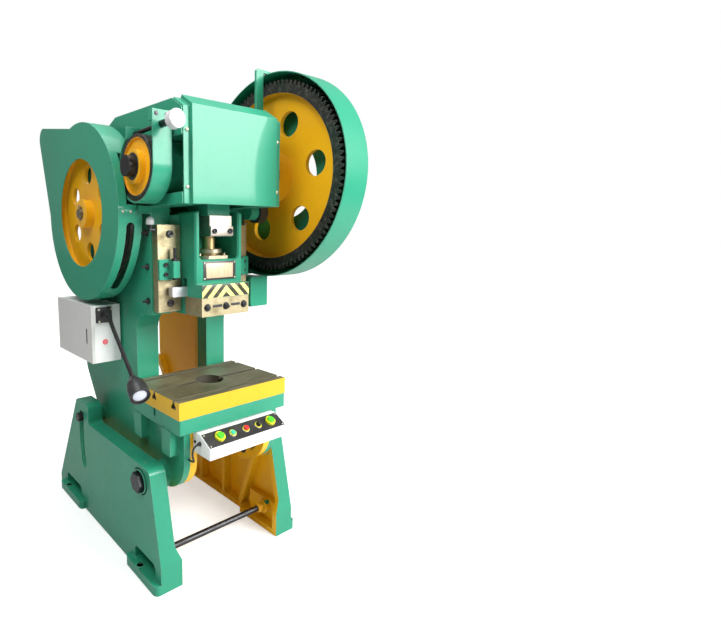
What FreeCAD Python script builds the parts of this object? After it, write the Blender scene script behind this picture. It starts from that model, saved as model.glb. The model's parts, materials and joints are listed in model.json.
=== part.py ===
import FreeCAD, Part
import math
import os
from FreeCAD import Vector

os.makedirs("parts", exist_ok=True)

# Open-back inclinable power press, upright, ram at the top of its stroke.
# X runs to the right, Y to the rear, Z up; the origin lies on the floor at
# the centre of the four foundation holes. All sizes are in millimetres.

# ---------------------------------------------------------------- clearances
SEAT_GAP = 0.2          # between a piece and the seat that it is bolted on
RUN_GAP = 0.05          # radial running fit of a shaft in its bore
SLIDE_GAP = 0.3         # between the ram and its ways
LOOSE_GAP = 0.3         # between pieces that pass close by each other

# ------------------------------------------------------------ stamping space
TABLE_WIDTH = 560.0
TABLE_DEPTH = 370.0
TABLE_TOP_Z = 765.0
BOLSTER_THICK = 70.0
SLAB_THICK = 60.0
THROAT = 202.0          # from the ram's axis back to the uprights
UPRIGHT_GAP = 270.0     # between the uprights
RAM_Y = -395.0          # the ram's axis
TABLE_HOLE_R = 62.0
SLAB_HOLE_R = 100.0
T_SLOT_WIDTH = 18.0
T_SLOT_HEAD = 32.0
T_SLOT_DEPTH = 34.0
T_SLOT_PITCH = 145.0

# --------------------------------------------------------------- body casting
BODY_HALF = 244.0       # outer face of a cheek
CHEEK_THICK = 30.0
CHEEK_RIM = 62.0        # width of the rim round a cheek's lower end
RIM_DEEP = 34.0
COLUMN_DEEP = 100.0
CHEEK_FRONT_Y = -555.0
CHEEK_BOTTOM_Z = 347.0
LOBE_R = 150.0
BODY_REAR_Y = 383.0
HEAD_FRONT_Y = -566.0
HEAD_BOTTOM_Z = 1505.0
HEAD_FRONT_TOP_Z = 1842.0
ROOF_Y = -508.0
ROOF_Z = 1881.0
HEAD_TOP_Y = -46.0
HEAD_TOP_Z = 1903.0
HEAD_REAR_Y = 38.0
HEAD_REAR_Z = 1872.0
HEAD_ROUND = 30.0
SLOPE_LOW_Z = 1556.0    # where the rear slope meets the upright rear
REAR_LOW_Z = 700.0
HEEL = (66.0, 530.0)    # behind the clamp bolt, and its height
HEEL_LOW = (60.0, 415.0)
JAW_Z = 1065.0          # underside of the head over the die space
JAW_R = 90.0
WAY_Y = -330.0          # face that the gibs are bolted on
ROOF_THICK = 25.0
THICK_HEAD_UP = 200.0   # of the thick head's lower rear end over the jaw
THICK_COLUMN_UP = 120.0
PIVOT_BOSS = (56.0, 60.0)       # radius outside and inside the cheek
CLAMP_BOSS_R = 42.0
CLAMP_BOSS_IN = 24.0
BEARING_BOSS_R = 80.0
BEARING_BOSS_IN = 40.0
BEARING_BOSS_OUT = 14.0
SIDE_LUGS = (-125.0, 105.0)     # fronts of the lugs under the table, from the ram
SIDE_LUG_WIDE = 62.0
SIDE_LUG_Z = 532.0
SLAB_LAP = 6.0
CROSS_WALL = (-150.0, -118.0)   # front and rear of the wall across the head
CROSS_WALL_Z = (1190.0, 1560.0)
ROOF_WALL = 30.0
ROOF_WALL_Z = 1600.0
SIDE_SLOT = 18.0        # of the slot in each side of the table
SIDE_SLOT_DEEP = 30.0
SIDE_SLOT_Z = 34.0
BOLSTER_HEAD_HIGH = 16.0

# ---------------------------------------------------------------- crank drive
CRANK_Z = 1646.0
STROKE = 65.0
JOURNAL_R = 50.0
BUSH_WALL = 10.0
CAP_HALF = 100.0
CAP_DEEP = 88.0
CAP_BEVEL = 30.0
CAP_FLAT = 40.0         # half the height of the cap's flat front
CAP_INSET = 2.0
PIN_R = 46.0
PIN_HALF = 62.0
SLEEVE_R = 78.0
SLEEVE_HALF = 56.0
CRANK_WEB_R = 98.0
CRANK_WEB_END = 128.0
SHAFT_LEFT_R = 39.0
SHAFT_LEFT_PROUD = 46.0     # of the shaft's left end before the brake drum
SHAFT_RIGHT_PROUD = 14.0    # of its right end before the big gear
GEAR_SEAT_R = 55.0
END_PLATE_R = 74.0
END_PLATE = 12.0
END_BOLT_CIRCLE = 34.0
END_BOLT_R = 9.0
END_BOLT_HIGH = 8.0
END_BOLT_ANGLES = (90, 210, 330)
COLLAR_GAP = 3.0        # between the clutch collar and the gear's hub
COLLAR_TAIL = 14.0      # how far its tail stands out
COLLAR_TAIL_WIDE = 24.0
COLLAR_TAIL_IN = (8.0, 10.0)    # of the tail from the collar's two faces
COLLAR_OUT = 4.0        # from the cheek out to the clutch collar
COLLAR_R = 75.0
THROW = STROKE / 4

# ------------------------------------------------------------------ gear pair
MODULE = 8.0
GEAR_TEETH = 102
PINION_TEETH = 17
GEAR_OUT = 102.0        # from the cheek out to the gears
GEAR_WIDTH = 80.0
GEAR_RIM_R = 362.0
GEAR_WEB_IN = 40.0      # from the gear's inner face to its web
GEAR_WEB = 20.0
GEAR_HUB_R = 110.0
GEAR_HUB_OUT = 64.0     # from the cheek out to the hub
GEAR_HOLES = 6
GEAR_HOLE_ANGLE = 110   # of the first hole
GEAR_HOLE_R = 54.0
GEAR_HOLE_CIRCLE = 242.0
PRESSURE_ANGLE = 20.0
BACKLASH = 0.5
SECOND_ANGLE = -19.0    # from the crank to the second shaft, below the level
SECOND_R = 35.0

# ------------------------------------------------------------ flywheel, motor
FLYWHEEL_R = 335.0
FLYWHEEL_OUT = 124.0        # from the cheek out to the flywheel's far face
FLYWHEEL_WIDTH = 78.0
FLYWHEEL_RIM = 58.0
FLYWHEEL_WEB = 18.0
FLYWHEEL_HUB_R = 62.0
FLYWHEEL_HUB_PROUD = 10.0
FLYWHEEL_HOLES = 6
FLYWHEEL_HOLE_R = 42.0
FLYWHEEL_HOLE_CIRCLE = 170.0
FLYWHEEL_HOLE_ANGLE = 90    # of the first hole
SHOULDER_GAP = 2.0          # from the flywheel to the second shaft's shoulder
WHEEL_SEAT_R = 30.0         # of the second shaft in the flywheel
SECOND_END_R = 22.0
SECOND_END = 12.0
SECOND_PROUD = 14.0         # of the second shaft before the pinion
PULLEY_R = 87.0
PULLEY_PROUD = 2.0
MOTOR_Y = 410.0
MOTOR_Z = 1786.0
MOTOR_R = 105.0
MOTOR_IN = 103.0            # from the flywheel's far face to the motor
MOTOR_LENGTH = 300.0
MOTOR_SHAFT_R = 19.0
MOTOR_FINS = 18
FIN_HIGH = 15.0
FIN_THICK = 4.0
FLANGE_LONG = 36.0          # of the motor's front flange
COWL_LONG = 60.0            # of the fan's cowl
BARREL_INSET = 12.0
FLANGE_INSET = 3.0
SPIGOT_LONG = 14.0
SPIGOT_INSET = 30.0
MOTOR_ALONG = 332.0         # along the rear slope to the motor's foot
MOTOR_FOOT_HALF = 92.0
MOTOR_FOOT_WIDE = 44.0
MOTOR_FOOT_THICK = 14.0
MOTOR_FEET = (44.0, 180.0)  # from the motor's left end
FOOT_WEB_ALONG = 62.0
FOOT_WEB = 20.0
FOOT_WEB_HIGH = 62.0
FOOT_WEB_INSET = 4.0
TERMINAL_START = 90.0
TERMINAL_SIDE = 100.0
TERMINAL_DEEP = 30.0
TERMINAL_HIGH = 44.0
MOTOR_BASE = (-90.0, 80.0)  # of the bracket's foot, along the slope
MOTOR_BASE_THICK = 16.0
MOTOR_CHEEKS = (51.0, 225.0)
MOTOR_CHEEK = 24.0
MOTOR_CHEEK_INSET = 10.0
MOTOR_CHEEK_HIGH = 44.0
MOTOR_PLATE_HALF = 100.0
MOTOR_PLATE = 14.0
MOTOR_PLATE_IN = 25.0
BELTS = 3
BELT_WIDTH = 13.0
BELT_THICK = 10.0
BELT_PITCH = 20.0
BELT_SUNK = 1.0             # of a belt's back below the rims
BELT_NARROW = 2.2           # of a belt's side from its groove's nominal side
GROOVE_WIDER = 0.8
GROOVE_DEEPER = 3.0
GROOVE_DRAFT = 3.0

# ---------------------------------------------------------------------- brake
DRUM_OUT = 93.0         # from the cheek out to the drum's far face
DRUM_WIDTH = 76.0
DRUM_R = 118.0
DRUM_RIM = 13.0
DRUM_DISH = 10.0
DRUM_WEB = 24.0
DRUM_HUB_OUT = 15.0     # how far the hub stands out of the drum
DRUM_HUB_IN = 8.0
LINING = 10.0
BAND = 6.0
BAND_OVER = 3.0         # how far the band stands past the drum's outer face
BAND_END_Z = 1828.0
BAND_BOLT_R = 7.0
BAND_BOLT_X = 22.0
BAND_BOLT_Z = 1813.0
EAR_ANGLE = 60.0        # where the band ends behind the drum, above the level
EAR_HIGH = 44.0
BRACKET_ARM = 22.0
BRACKET_ARM_HIGH = 38.0
BRACKET_BASE = 18.0
BRACKET_REACH = 110.0
DRUM_HUB_R = 62.0
BRAKE_IN = 35.0         # from the drum's far face to the brake rod
BRAKE_ROD_Z = 1779.0
ROD_END_R = 8.0
ROD_NUT = 12.0          # the nut's thickness and half its width
KNOB_R = 32.0
KNOB_THICK = 36.0
KNOB_SLOT = 8.0
KNOB_CHAMFER = 2.5
KNOB_Y = -598.0         # the knob's rear face

# --------------------------------------------------------------------- guards
SHEET = 4.0
LEFT_GUARD_OUT = 139.0      # from the cheek out to the left guard's face
LEFT_GUARD_WIDTH = 103.0
FLYWHEEL_ROOM = 49.0        # between the flywheel and its guard
LEFT_OPENING_R = 237.0
RIGHT_GUARD_OUT = 79.0      # from the cheek out to the right guard's rim
RIGHT_GUARD_WIDTH = 144.0
GEAR_ROOM = 26.0            # between the gear's tips and its guard
PINION_ROOM = 25.0
RIGHT_OPENING_R = 180.0
RIGHT_GUARD_ROUND = 16.0
BRAKE_NOTCH_R = 150.0
GUARD_TOP_ANGLE = 122.0     # where the flywheel guard's flat top leaves its round
GUARD_REAR_Y = 171.0        # of the top's rear corner, from the motor's axis
GUARD_REAR_Z = 166.0
GUARD_REAR_ROUND = 55.0
RIM_SLOT_ANGLES = (190.0, 211.0, 235.0)
RIM_SLOT_INSET = 35.0
RIM_SLOT_WIDTH = 36.0
STAY_WIDE = 30.0
STAY_THICK = 12.0
STAY_LAP = 22.0             # how far a stay reaches over its guard
TOP_STAY_ALONG = 150.0
LOW_STAY_Y = -270.0
HANGER_LOW_Z = 1790.0
HANGER_FOOT = 90.0
HANGER_WIDE = 41.0
HANGER_GAP = 20.0
HANGER_ROUND = 12.0
HANGER_BACK_ROUND = 10.0
COVER_INSET = 5.5           # of the cover's edge from the cheek's outer face
COVER_BOTTOM_Z = 1504.0
COVER_FLANGE = 30.0
COVER_PROUD = 18.0

# ----------------------------------------------------------------------- legs
PIVOT_Y = -405.0
PIVOT_Z = 408.0
PIVOT_R = 30.0
TILT = 22.0
SLOT_RADIUS = 610.0
SLOT_ANGLE = 8.0        # of the clamp bolt, above the pivot's level
SLOT_WIDTH = 30.0
CLAMP_R = 12.0
CLAMP_WASHER_R = 24.0
CLAMP_WASHER = 7.0
CLAMP_HEAD = 38.0       # across the flats
CLAMP_HEAD_HIGH = 24.0
PIVOT_HEAD = 72.0       # across the flats
PIVOT_HEAD_PROUD = 24.0
PIVOT_RECESS_R = 55.0
PIVOT_RECESS = 30.0
SLOT_RECESS = 8.0
SLOT_RECESS_WIDE = 22.0
LEG_GAP = 42.0          # between the cheek and the leg
LEG_WIDE = 73.0
LEG_FRONT_Y = -557.0
LEG_REAR_Y = 545.0
LEG_TOP_Z = 478.0
EAR_TOP_Z = 575.0
LEG_WEB = 26.0
LEG_FLANGE = 26.0
LEG_SHIN_Z = 110.0      # height of the leg's upright front edge
LEG_SHOULDER = 78.0     # how far its top starts behind its front
EAR_FRONT = 84.0        # of the slot's ear, before and behind the clamp bolt
EAR_REAR = 58.0
LEG_HEEL_Z = 50.0
RIB_THICK = 24.0
RIBS_Y = (-142.0, 60.0)
BRACE_TOP = (-385.0, 330.0)     # the slanting rib's upper end, Y and Z
BRACE_FOOT = (-276.0, 20.0)
BRACE_WIDE = 26.0
PIVOT_BOSS_R = 72.0
SLOT_BOSS = 44.0        # how much wider the ring round the slot is
SLOT_BOSS_HIGH = 22.0
SLOT_BOSS_SPREAD = 3.0  # how many degrees longer it is at each end
SLOT_RECESS_SPREAD = 0.6
TIE_BOSS_R = 32.0
TIE_BOSS_PROUD = 10.0
TIE_DEEP = 8.0          # of web left behind the tie rod's end
FRONT_LUG = 258.0       # length of the front lug
REAR_LUG = (-205.0, 88.0)       # ends of the rear lug, from its bolt
FOOT_IN = 26.0          # how far the foot reaches inwards of the leg
FOOT_TAPER_Z = 170.0    # top of the wall that joins the foot to the leg
FOOT_WALL_Z = 110.0
LUG_WIDE = 26.0         # how far a lug reaches outwards of the leg
LUG_THICK = 40.0
LUG_ROUND = 22.0
LUG_ROOT = 16.0         # how far a lug runs into the leg
POCKET_INSET = 44.0     # of the pocket over a lug, from the lug's ends
POCKET_DEEP = 40.0
POCKET_TOP_Z = 100.0
POCKET_ROUND = 24.0
FOUNDATION_OUT = 8.0    # of the foundation hole from the leg's outer face
FOUNDATION_Y = 402.0
FOUNDATION_HOLE_R = 13.0
TIE_Y = -445.0
TIE_Z = 93.0
TIE_R = 13.0

# ------------------------------------------------------------------------ ram
RAM_HALF = 122.0
RAM_BACK_Y = -280.0
RAM_UPPER_Y = -472.0
RAM_LOWER_Y = -515.0
RAM_BOTTOM_Z = 1065.0
RAM_TOP_Z = 1485.0
RAM_LOWER_TOP_Z = 1194.0
RAM_V_TIP = 150.0
WINDOW_HALF = 98.0
WINDOW_Z = 1292.0
WINDOW_BACK_Y = -310.0
SHANK_R = 20.0
SHANK_DEPTH = 60.0
CLAMP_TOP_Z = 1141.0
SCREW_R = 28.0
BALL_R = 42.0
BALL_Z = 1262.0
SCREW_TOP_Z = 1535.0
SCREW_COLLAR_R = 44.0
SCREW_COLLAR = 26.0
SCREW_COLLAR_UP = 2.0   # of the collar over the ball's cap
TOMMY_R = 6.0
TOMMY_DEEP = 12.0
BALL_CAP_R = 84.0
BALL_CAP = 14.0
BALL_CAP_FRONT = 9.0    # of its flat front from the ram's front
CAP_SCREW_ROOM = 3.0
CAP_BOLT_R = 8.0
CAP_BOLT_HIGH = 8.0
CAP_BOLT_CIRCLE = 68.0
CAP_BOLT_ANGLES = (20, 160, 200, 340)
GUIDE_LOW = 18.0        # of the guides from the ram's bottom, and from its top
GUIDE_HIGH = 12.0
RAM_CHAMFER = 7.0
SHANK_BOLTS_X = (-95.0, 0.0, 95.0)
SHANK_BOLT_R = 9.0
SHANK_BOLT_UP = 40.0
ROD_HALF = 56.0
ROD_DEEP = 72.0         # from the rod's axis to its front and rear
ROD_SHOULDER = 20.0
ROD_NECK = 4.0
ROD_NECK_DROP = 60.0
ROD_CLAMP_Z = 1385.0
ROD_CLAMP_TOP_Z = 1468.0
ROD_FRONT_Y = -480.0
ROD_BOLT_X = 43.0
ROD_BOLT_R = 8.0
ROD_BOLT_UP = 21.0
ROD_EYE_R = 112.0
ROD_EYE_HALF = 52.0
ROD_EAR_Y = 118.0
ROD_EAR_HALF = 34.0
ROD_EAR_DEEP = 22.0
ROD_EAR_INSET = 8.0
ROD_BORE_TOP_Z = 1568.0
KNOCK_HIGH = 40.0
KNOCK_HALF = 192.0
KNOCK_THICK = 30.0
KNOCK_TRAVEL = 34.0

# ----------------------------------------------------------------------- gibs
GIB_THICK = 40.0
GIB_INSET = 9.0         # of the gib's side from the cheek's outer face
GIB_LIP = 3.5           # of the gib's front edge from the ram's side
GIB_BOTTOM_Z = 1078.0
GIB_TOP_Z = 1433.0
GIB_BOLT_X = 178.0
GIB_BOLT_INSET = 37.0
GIB_BOLT_R = 9.0
GIB_SCREW_Y = -305.0
GIB_SCREW_Z = (1121.0, 1263.0, 1401.0)
GIB_SCREW_R = 9.0
GIB_SCREW_DEEP = 20.0
BRACKET_BOTTOM_Z = 1212.0
BRACKET_TOP_Z = 1295.0
BRACKET_THICK = 12.0
BRACKET_INNER = 11.0    # of the bracket's plate from the stop screw
BRACKET_LUG = (-15.0, 16.0)     # ends of its lug, from the stop screw
BRACKET_LUG_INSET = 8.0
BRACKET_LUG_DEEP = 17.0
STOP_SCREW_R = 7.0
STOP_SCREW_X = 171.0
STOP_SCREW_AHEAD = 3.0  # of the stop screw before the ram's axis

# --------------------------------------------------------------- control gear
PANEL_HALF = 200.0
PANEL_TOP_Y = -601.0
PANEL_TOP_Z = 630.0
PANEL_FRONT_Y = -665.0
PANEL_EDGE_Z = 593.0
PANEL_BOTTOM_Z = 548.0
PANEL_FACE = 2.0
PANEL_SHEET = 2.0
PANEL_LIP = 6.0         # rim left round the opening under the face
PALM_R = 15.0
PALM_COLLAR_R = 21.0
PALM_COLLAR_HIGH = 11.0
PALM_HIGH = 18.0
COLLAR_WALL = 3.5
COLLAR_HIGH = 5.0
BUTTON_DEEP = 8.0       # how far a button reaches into the panel
START_HIGH = 9.0
STOP_HIGH = 14.0
SELECTOR_BAR = 7.0
BUTTON_ROUND = 2.5
CABINET_GAP = 8.0       # between the cheek and the cabinet
CABINET_WIDE = 140.0
CABINET_FRONT_Y = -50.0
CABINET_REAR_Y = 370.0
CABINET_BOTTOM_Z = 822.0
CABINET_TOP_Z = 1083.0
CABINET_SHEET = 3.0
RAIL_WIDE = 30.0        # of the two rails that carry the cabinet
RAIL_INSET = 20.0
RAIL_END = 30.0
DOOR_THICK = 14.0
DOOR_SHEET = 2.0
DOOR_SLIT = (2.0, 16.0)         # front and rear of the handle's slit
DOOR_SLIT_Z = (905.0, 975.0)
INDICATOR_R = 9.0
INDICATOR_IN = 63.0     # from the cabinet's outer side
INDICATOR_Z = 916.0
INDICATOR_LIP = 3.0
INDICATOR_HIGH = 7.0
INDICATOR_STEM = 8.0
LAMP_IN = 59.0          # from the cabinet's outer side
LAMP_Z = 1040.0
LAMP_FOOT_HALF = (38.0, 35.0)
LAMP_FOOT = 8.0
LAMP_FOOT_ROUND = 5.0
LAMP_NECK_R = 15.0
LAMP_NECK = 22.0
LAMP_ELBOW_Y = -100.0
LAMP_HEAD_X = -392.0
LAMP_HEAD_Y = -430.0
LAMP_HEAD_Z = 850.0
LAMP_ARM_R = 9.0
BELL_NECK_R = 14.0
BELL_SHOULDER = (34.0, 34.0)    # radius there, and its distance from the neck
BELL_R = 40.0
BELL_FLARE = 62.0       # how far down the bell has its full width
BELL_LONG = 100.0
BELL_WALL = 4.0
BELL_RECESS = 8.0
CABLE_R = 4.0
CABLE_ROUTE = [
    (-198.0, -602.0, 594.0),
    (-229.0, -602.0, 594.0),
    (-238.0, -600.0, 556.0),
    (-221.0, -596.0, 517.0),
    (-221.0, -555.2, 517.0),
]
BUTTON_R = 11.0
BUTTONS = [(-130.0, PALM_R), (-64.0, BUTTON_R), (4.0, BUTTON_R), (70.0, BUTTON_R), (137.0, PALM_R)]

# ----------------------------------------------------------------------- trip
TRIP_Y = -320.0
TRIP_BOX_Z = 1062.0
TRIP_BOX_TOP_Z = 1198.0
TRIP_BOX_HALF = 70.0
TRIP_BOX_WIDE = 104.0
TRIP_BORE_DEEP = 60.0
TRIP_ROD_OUT = 21.0     # of the rod's middle from the cheek
TRIP_ROD_R = 8.0
TRIP_ROD_IN = 40.0      # how far the rod reaches into the box
TRIP_ROD_DROP = 40.0    # of the rod's top below the lever's pin
TRIP_COLLAR_R = 15.0
TRIP_COLLAR = 14.0
TRIP_COLLAR_UP = 30.0
TRIP_EYE_HALF = 14.0
TRIP_EYE_DEEP = 12.0
TRIP_EYE = 7.0
TRIP_LEVER_Z = 1490.0
TRIP_LEVER_ARM = 12.0
TRIP_LEVER_LONG = 41.0
TRIP_LEVER_ROOT = 20.0  # half the arm's height at the hub
TRIP_LEVER_TIP = 12.0
TRIP_LEVER_END = 14.0   # of the arm past the rod's middle
TRIP_CATCH = [(-40.0, 0.0, 0), (-34.0, 54.0, 5), (-12.0, 62.0, 5), (4.0, 0.0, 0)]
TRIP_SIDE_GAP = 1.0
TRIP_HUB_R = 47.0
TRIP_STUB_R = 16.0
TRIP_STUB_OUT = 62.0    # of the lever's pin from the cheek
TRIP_BOSS_R = 34.0

# -------------------------------------------------------------- worked out
GIB_OUTER = BODY_HALF - GIB_INSET
COVER_HALF = BODY_HALF - COVER_INSET
LEG_INNER = BODY_HALF + LEG_GAP
LEG_OUTER = LEG_INNER + LEG_WIDE
FOOT_INNER = LEG_INNER - FOOT_IN
LUG_OUTER = LEG_OUTER + LUG_WIDE
FOUNDATION_X = LEG_OUTER + FOUNDATION_OUT
GEAR_LEFT_X = BODY_HALF + GEAR_OUT
GEAR_WEB_X = GEAR_LEFT_X + GEAR_WEB_IN
GEAR_HUB_X = BODY_HALF + GEAR_HUB_OUT
SHAFT_RIGHT_X = GEAR_LEFT_X + GEAR_WIDTH + SHAFT_RIGHT_PROUD
GEAR_TIP_R = MODULE * (GEAR_TEETH / 2 + 1)
PINION_TIP_R = MODULE * (PINION_TEETH / 2 + 1)
RIGHT_GUARD_X = BODY_HALF + RIGHT_GUARD_OUT
RIGHT_GUARD_R = GEAR_TIP_R + GEAR_ROOM + SHEET
PINION_GUARD_R = PINION_TIP_R + PINION_ROOM + SHEET
FLYWHEEL_LEFT_X = -BODY_HALF - FLYWHEEL_OUT
FLYWHEEL_HUB_X = FLYWHEEL_LEFT_X - FLYWHEEL_HUB_PROUD
LEFT_GUARD_X = -BODY_HALF - LEFT_GUARD_OUT
LEFT_GUARD_R = FLYWHEEL_R + FLYWHEEL_ROOM + SHEET
MOTOR_LEFT_X = FLYWHEEL_LEFT_X + MOTOR_IN
MOTOR_SEAT = MOTOR_BASE_THICK + MOTOR_CHEEK_HIGH + MOTOR_PLATE
DRUM_LEFT_X = -BODY_HALF - DRUM_OUT
SHAFT_LEFT_X = DRUM_LEFT_X - SHAFT_LEFT_PROUD
BRAKE_X = DRUM_LEFT_X + BRAKE_IN
CABINET_INNER = -BODY_HALF - CABINET_GAP
CABINET_OUTER = CABINET_INNER - CABINET_WIDE
INDICATOR_X = CABINET_OUTER + INDICATOR_IN
LAMP_X = CABINET_OUTER + LAMP_IN
TRIP_BOX_END = BODY_HALF + TRIP_BOX_WIDE
TRIP_ROD_X = BODY_HALF + TRIP_ROD_OUT
TRIP_ROD_TOP_Z = TRIP_LEVER_Z - TRIP_ROD_DROP
TRIP_STUB_END = BODY_HALF + TRIP_STUB_OUT
TABLE_FRONT_Y = RAM_Y - TABLE_DEPTH / 2
TABLE_REAR_Y = RAM_Y + TABLE_DEPTH / 2
SLAB_TOP_Z = TABLE_TOP_Z - BOLSTER_THICK
SLAB_BOTTOM_Z = SLAB_TOP_Z - SLAB_THICK
COLUMN_Y = RAM_Y + THROAT
INNER_HALF = UPRIGHT_GAP / 2
SHAFT_GAP = MODULE * (GEAR_TEETH + PINION_TEETH) / 2
SECOND_Y = RAM_Y + SHAFT_GAP * math.cos(math.radians(SECOND_ANGLE))
SECOND_Z = CRANK_Z + SHAFT_GAP * math.sin(math.radians(SECOND_ANGLE))
BUSH_R = JOURNAL_R + BUSH_WALL
PIN_Z = CRANK_Z + THROW
ROD_Z = PIN_Z + THROW
CLAMP_Y = PIVOT_Y + SLOT_RADIUS * math.cos(math.radians(SLOT_ANGLE))
CLAMP_Z = PIVOT_Z + SLOT_RADIUS * math.sin(math.radians(SLOT_ANGLE))
BAND_R = DRUM_R + LINING + SEAT_GAP
EAR_Y = RAM_Y + BAND_R * math.cos(math.radians(EAR_ANGLE))
PANEL_REAR_Y = CHEEK_FRONT_Y - SEAT_GAP
X_AXIS = Vector(1, 0, 0)
Y_AXIS = Vector(0, 1, 0)
Z_AXIS = Vector(0, 0, 1)


# ------------------------------------------------------------------- helpers
def box(x0, x1, y0, y1, z0, z1):
    """A block between two corners."""
    return Part.makeBox(x1 - x0, y1 - y0, z1 - z0, Vector(x0, y0, z0))


def round_x(radius, x0, x1, y, z):
    """A cylinder along X."""
    return Part.makeCylinder(radius, x1 - x0, Vector(x0, y, z), X_AXIS)


def round_y(radius, y0, y1, x, z):
    """A cylinder along Y."""
    return Part.makeCylinder(radius, y1 - y0, Vector(x, y0, z), Y_AXIS)


def round_z(radius, z0, z1, x, y):
    """A cylinder along Z."""
    return Part.makeCylinder(radius, z1 - z0, Vector(x, y, z0), Z_AXIS)


def in_yz(x):
    """Maps flat points to the plane at x."""
    return lambda a, b: Vector(x, a, b)


def in_xz(y):
    """Maps flat points to the plane at y."""
    return lambda a, b: Vector(a, y, b)


def in_xy(z):
    """Maps flat points to the plane at z."""
    return lambda a, b: Vector(a, b, z)


def outline(corners, place):
    """A closed wire through (a, b, radius) corners, each rounded by an arc."""
    count = len(corners)
    starts = []
    ends = []
    mids = []
    for index, (a, b, radius) in enumerate(corners):
        before = corners[index - 1]
        after = corners[(index + 1) % count]
        corner = Vector(a, b, 0)
        to_before = (Vector(before[0], before[1], 0) - corner).normalize()
        to_after = (Vector(after[0], after[1], 0) - corner).normalize()
        if radius == 0:
            starts.append(corner)
            ends.append(corner)
            mids.append(None)
            continue
        half = to_before.getAngle(to_after) / 2
        run = radius / math.tan(half)
        towards = (to_before + to_after).normalize()
        starts.append(corner + to_before * run)
        ends.append(corner + to_after * run)
        mids.append(corner + towards * (radius / math.sin(half) - radius))
    edges = []
    for index in range(count):
        start, end, mid = starts[index], ends[index], mids[index]
        if mid is not None:
            arc = Part.Arc(place(start.x, start.y), place(mid.x, mid.y), place(end.x, end.y))
            edges.append(arc.toShape())
        following = starts[(index + 1) % count]
        if (following - end).Length > 1e-6:
            edges.append(Part.makeLine(place(end.x, end.y), place(following.x, following.y)))
    return Part.Wire(edges)


def plate_x(corners, x0, x1):
    """A plate with its outline in the YZ plane, between two X values."""
    return Part.Face(outline(corners, in_yz(x0))).extrude(Vector(x1 - x0, 0, 0))


def plate_y(corners, y0, y1):
    """A plate with its outline in the XZ plane, between two Y values."""
    return Part.Face(outline(corners, in_xz(y0))).extrude(Vector(0, y1 - y0, 0))


def plate_z(corners, z0, z1):
    """A plate with its outline in the XY plane, between two Z values."""
    return Part.Face(outline(corners, in_xy(z0))).extrude(Vector(0, 0, z1 - z0))


def mirrored(shape):
    """The same shape on the other side of the machine's middle plane."""
    return shape.mirror(Vector(0, 0, 0), X_AXIS)


def both_sides(shape):
    """A shape and its mirror image."""
    return [shape, mirrored(shape)]


def fuse(shapes):
    """One solid from shapes that touch or overlap."""
    first = shapes[0]
    if len(shapes) == 1:
        return first
    return first.multiFuse(shapes[1:]).removeSplitter()


def hexagon_x(across, x0, x1, y, z):
    """A hexagonal prism along X."""
    radius = across / math.sqrt(3)
    points = [
        (y + radius * math.cos(math.radians(60 * k)), z + radius * math.sin(math.radians(60 * k)), 0)
        for k in range(6)
    ]
    return plate_x(points, x0, x1)


def hexagon_y(across, y0, y1, x, z):
    """A hexagonal prism along Y."""
    radius = across / math.sqrt(3)
    points = [
        (x + radius * math.cos(math.radians(60 * k)), z + radius * math.sin(math.radians(60 * k)), 0)
        for k in range(6)
    ]
    return plate_y(points, y0, y1)


def save(name, shapes):
    """Writes one node, a solid or a group of separate solids."""
    group = shapes if isinstance(shapes, list) else [shapes]
    shape = group[0] if len(group) == 1 else Part.makeCompound(group)
    shape.exportStep("parts/" + name + ".step")
    print(name, len(shape.Solids), "solids", round(shape.Volume / 1e6, 3), "dm3")


# ---------------------------------------------------------------------- legs
def leg_outline():
    """The side view of a leg, with the ear of the clamp slot at the rear."""
    return [
        (LEG_FRONT_Y, 0, 0),
        (LEG_FRONT_Y, LEG_SHIN_Z, 60),
        (LEG_FRONT_Y + LEG_SHOULDER, LEG_TOP_Z, 30),
        (CLAMP_Y - EAR_FRONT, LEG_TOP_Z, 16),
        (CLAMP_Y - EAR_FRONT, EAR_TOP_Z, 26),
        (CLAMP_Y + EAR_REAR, EAR_TOP_Z, 34),
        (LEG_REAR_Y, LEG_HEEL_Z, 30),
        (LEG_REAR_Y, 0, 0),
    ]


def slot_ring(width, x0, x1, spread):
    """A band along the clamp bolt's arc about the pivot, with round ends."""
    inner = SLOT_RADIUS - width / 2
    outer = SLOT_RADIUS + width / 2
    low = math.radians(SLOT_ANGLE - TILT - spread)
    high = math.radians(SLOT_ANGLE + spread)

    def at(radius, angle):
        return Vector(x0, PIVOT_Y + radius * math.cos(angle), PIVOT_Z + radius * math.sin(angle))

    def beyond(angle, turn):
        middle = at(SLOT_RADIUS, angle)
        along = Vector(0, -math.sin(angle), math.cos(angle)) * turn * width / 2
        return middle + along

    mean = (low + high) / 2
    edges = [
        Part.Arc(at(outer, low), at(outer, mean), at(outer, high)).toShape(),
        Part.Arc(at(outer, high), beyond(high, 1), at(inner, high)).toShape(),
        Part.Arc(at(inner, high), at(inner, mean), at(inner, low)).toShape(),
        Part.Arc(at(inner, low), beyond(low, -1), at(outer, low)).toShape(),
    ]
    return Part.Face(Part.Wire(edges)).extrude(Vector(x1 - x0, 0, 0))


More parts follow.
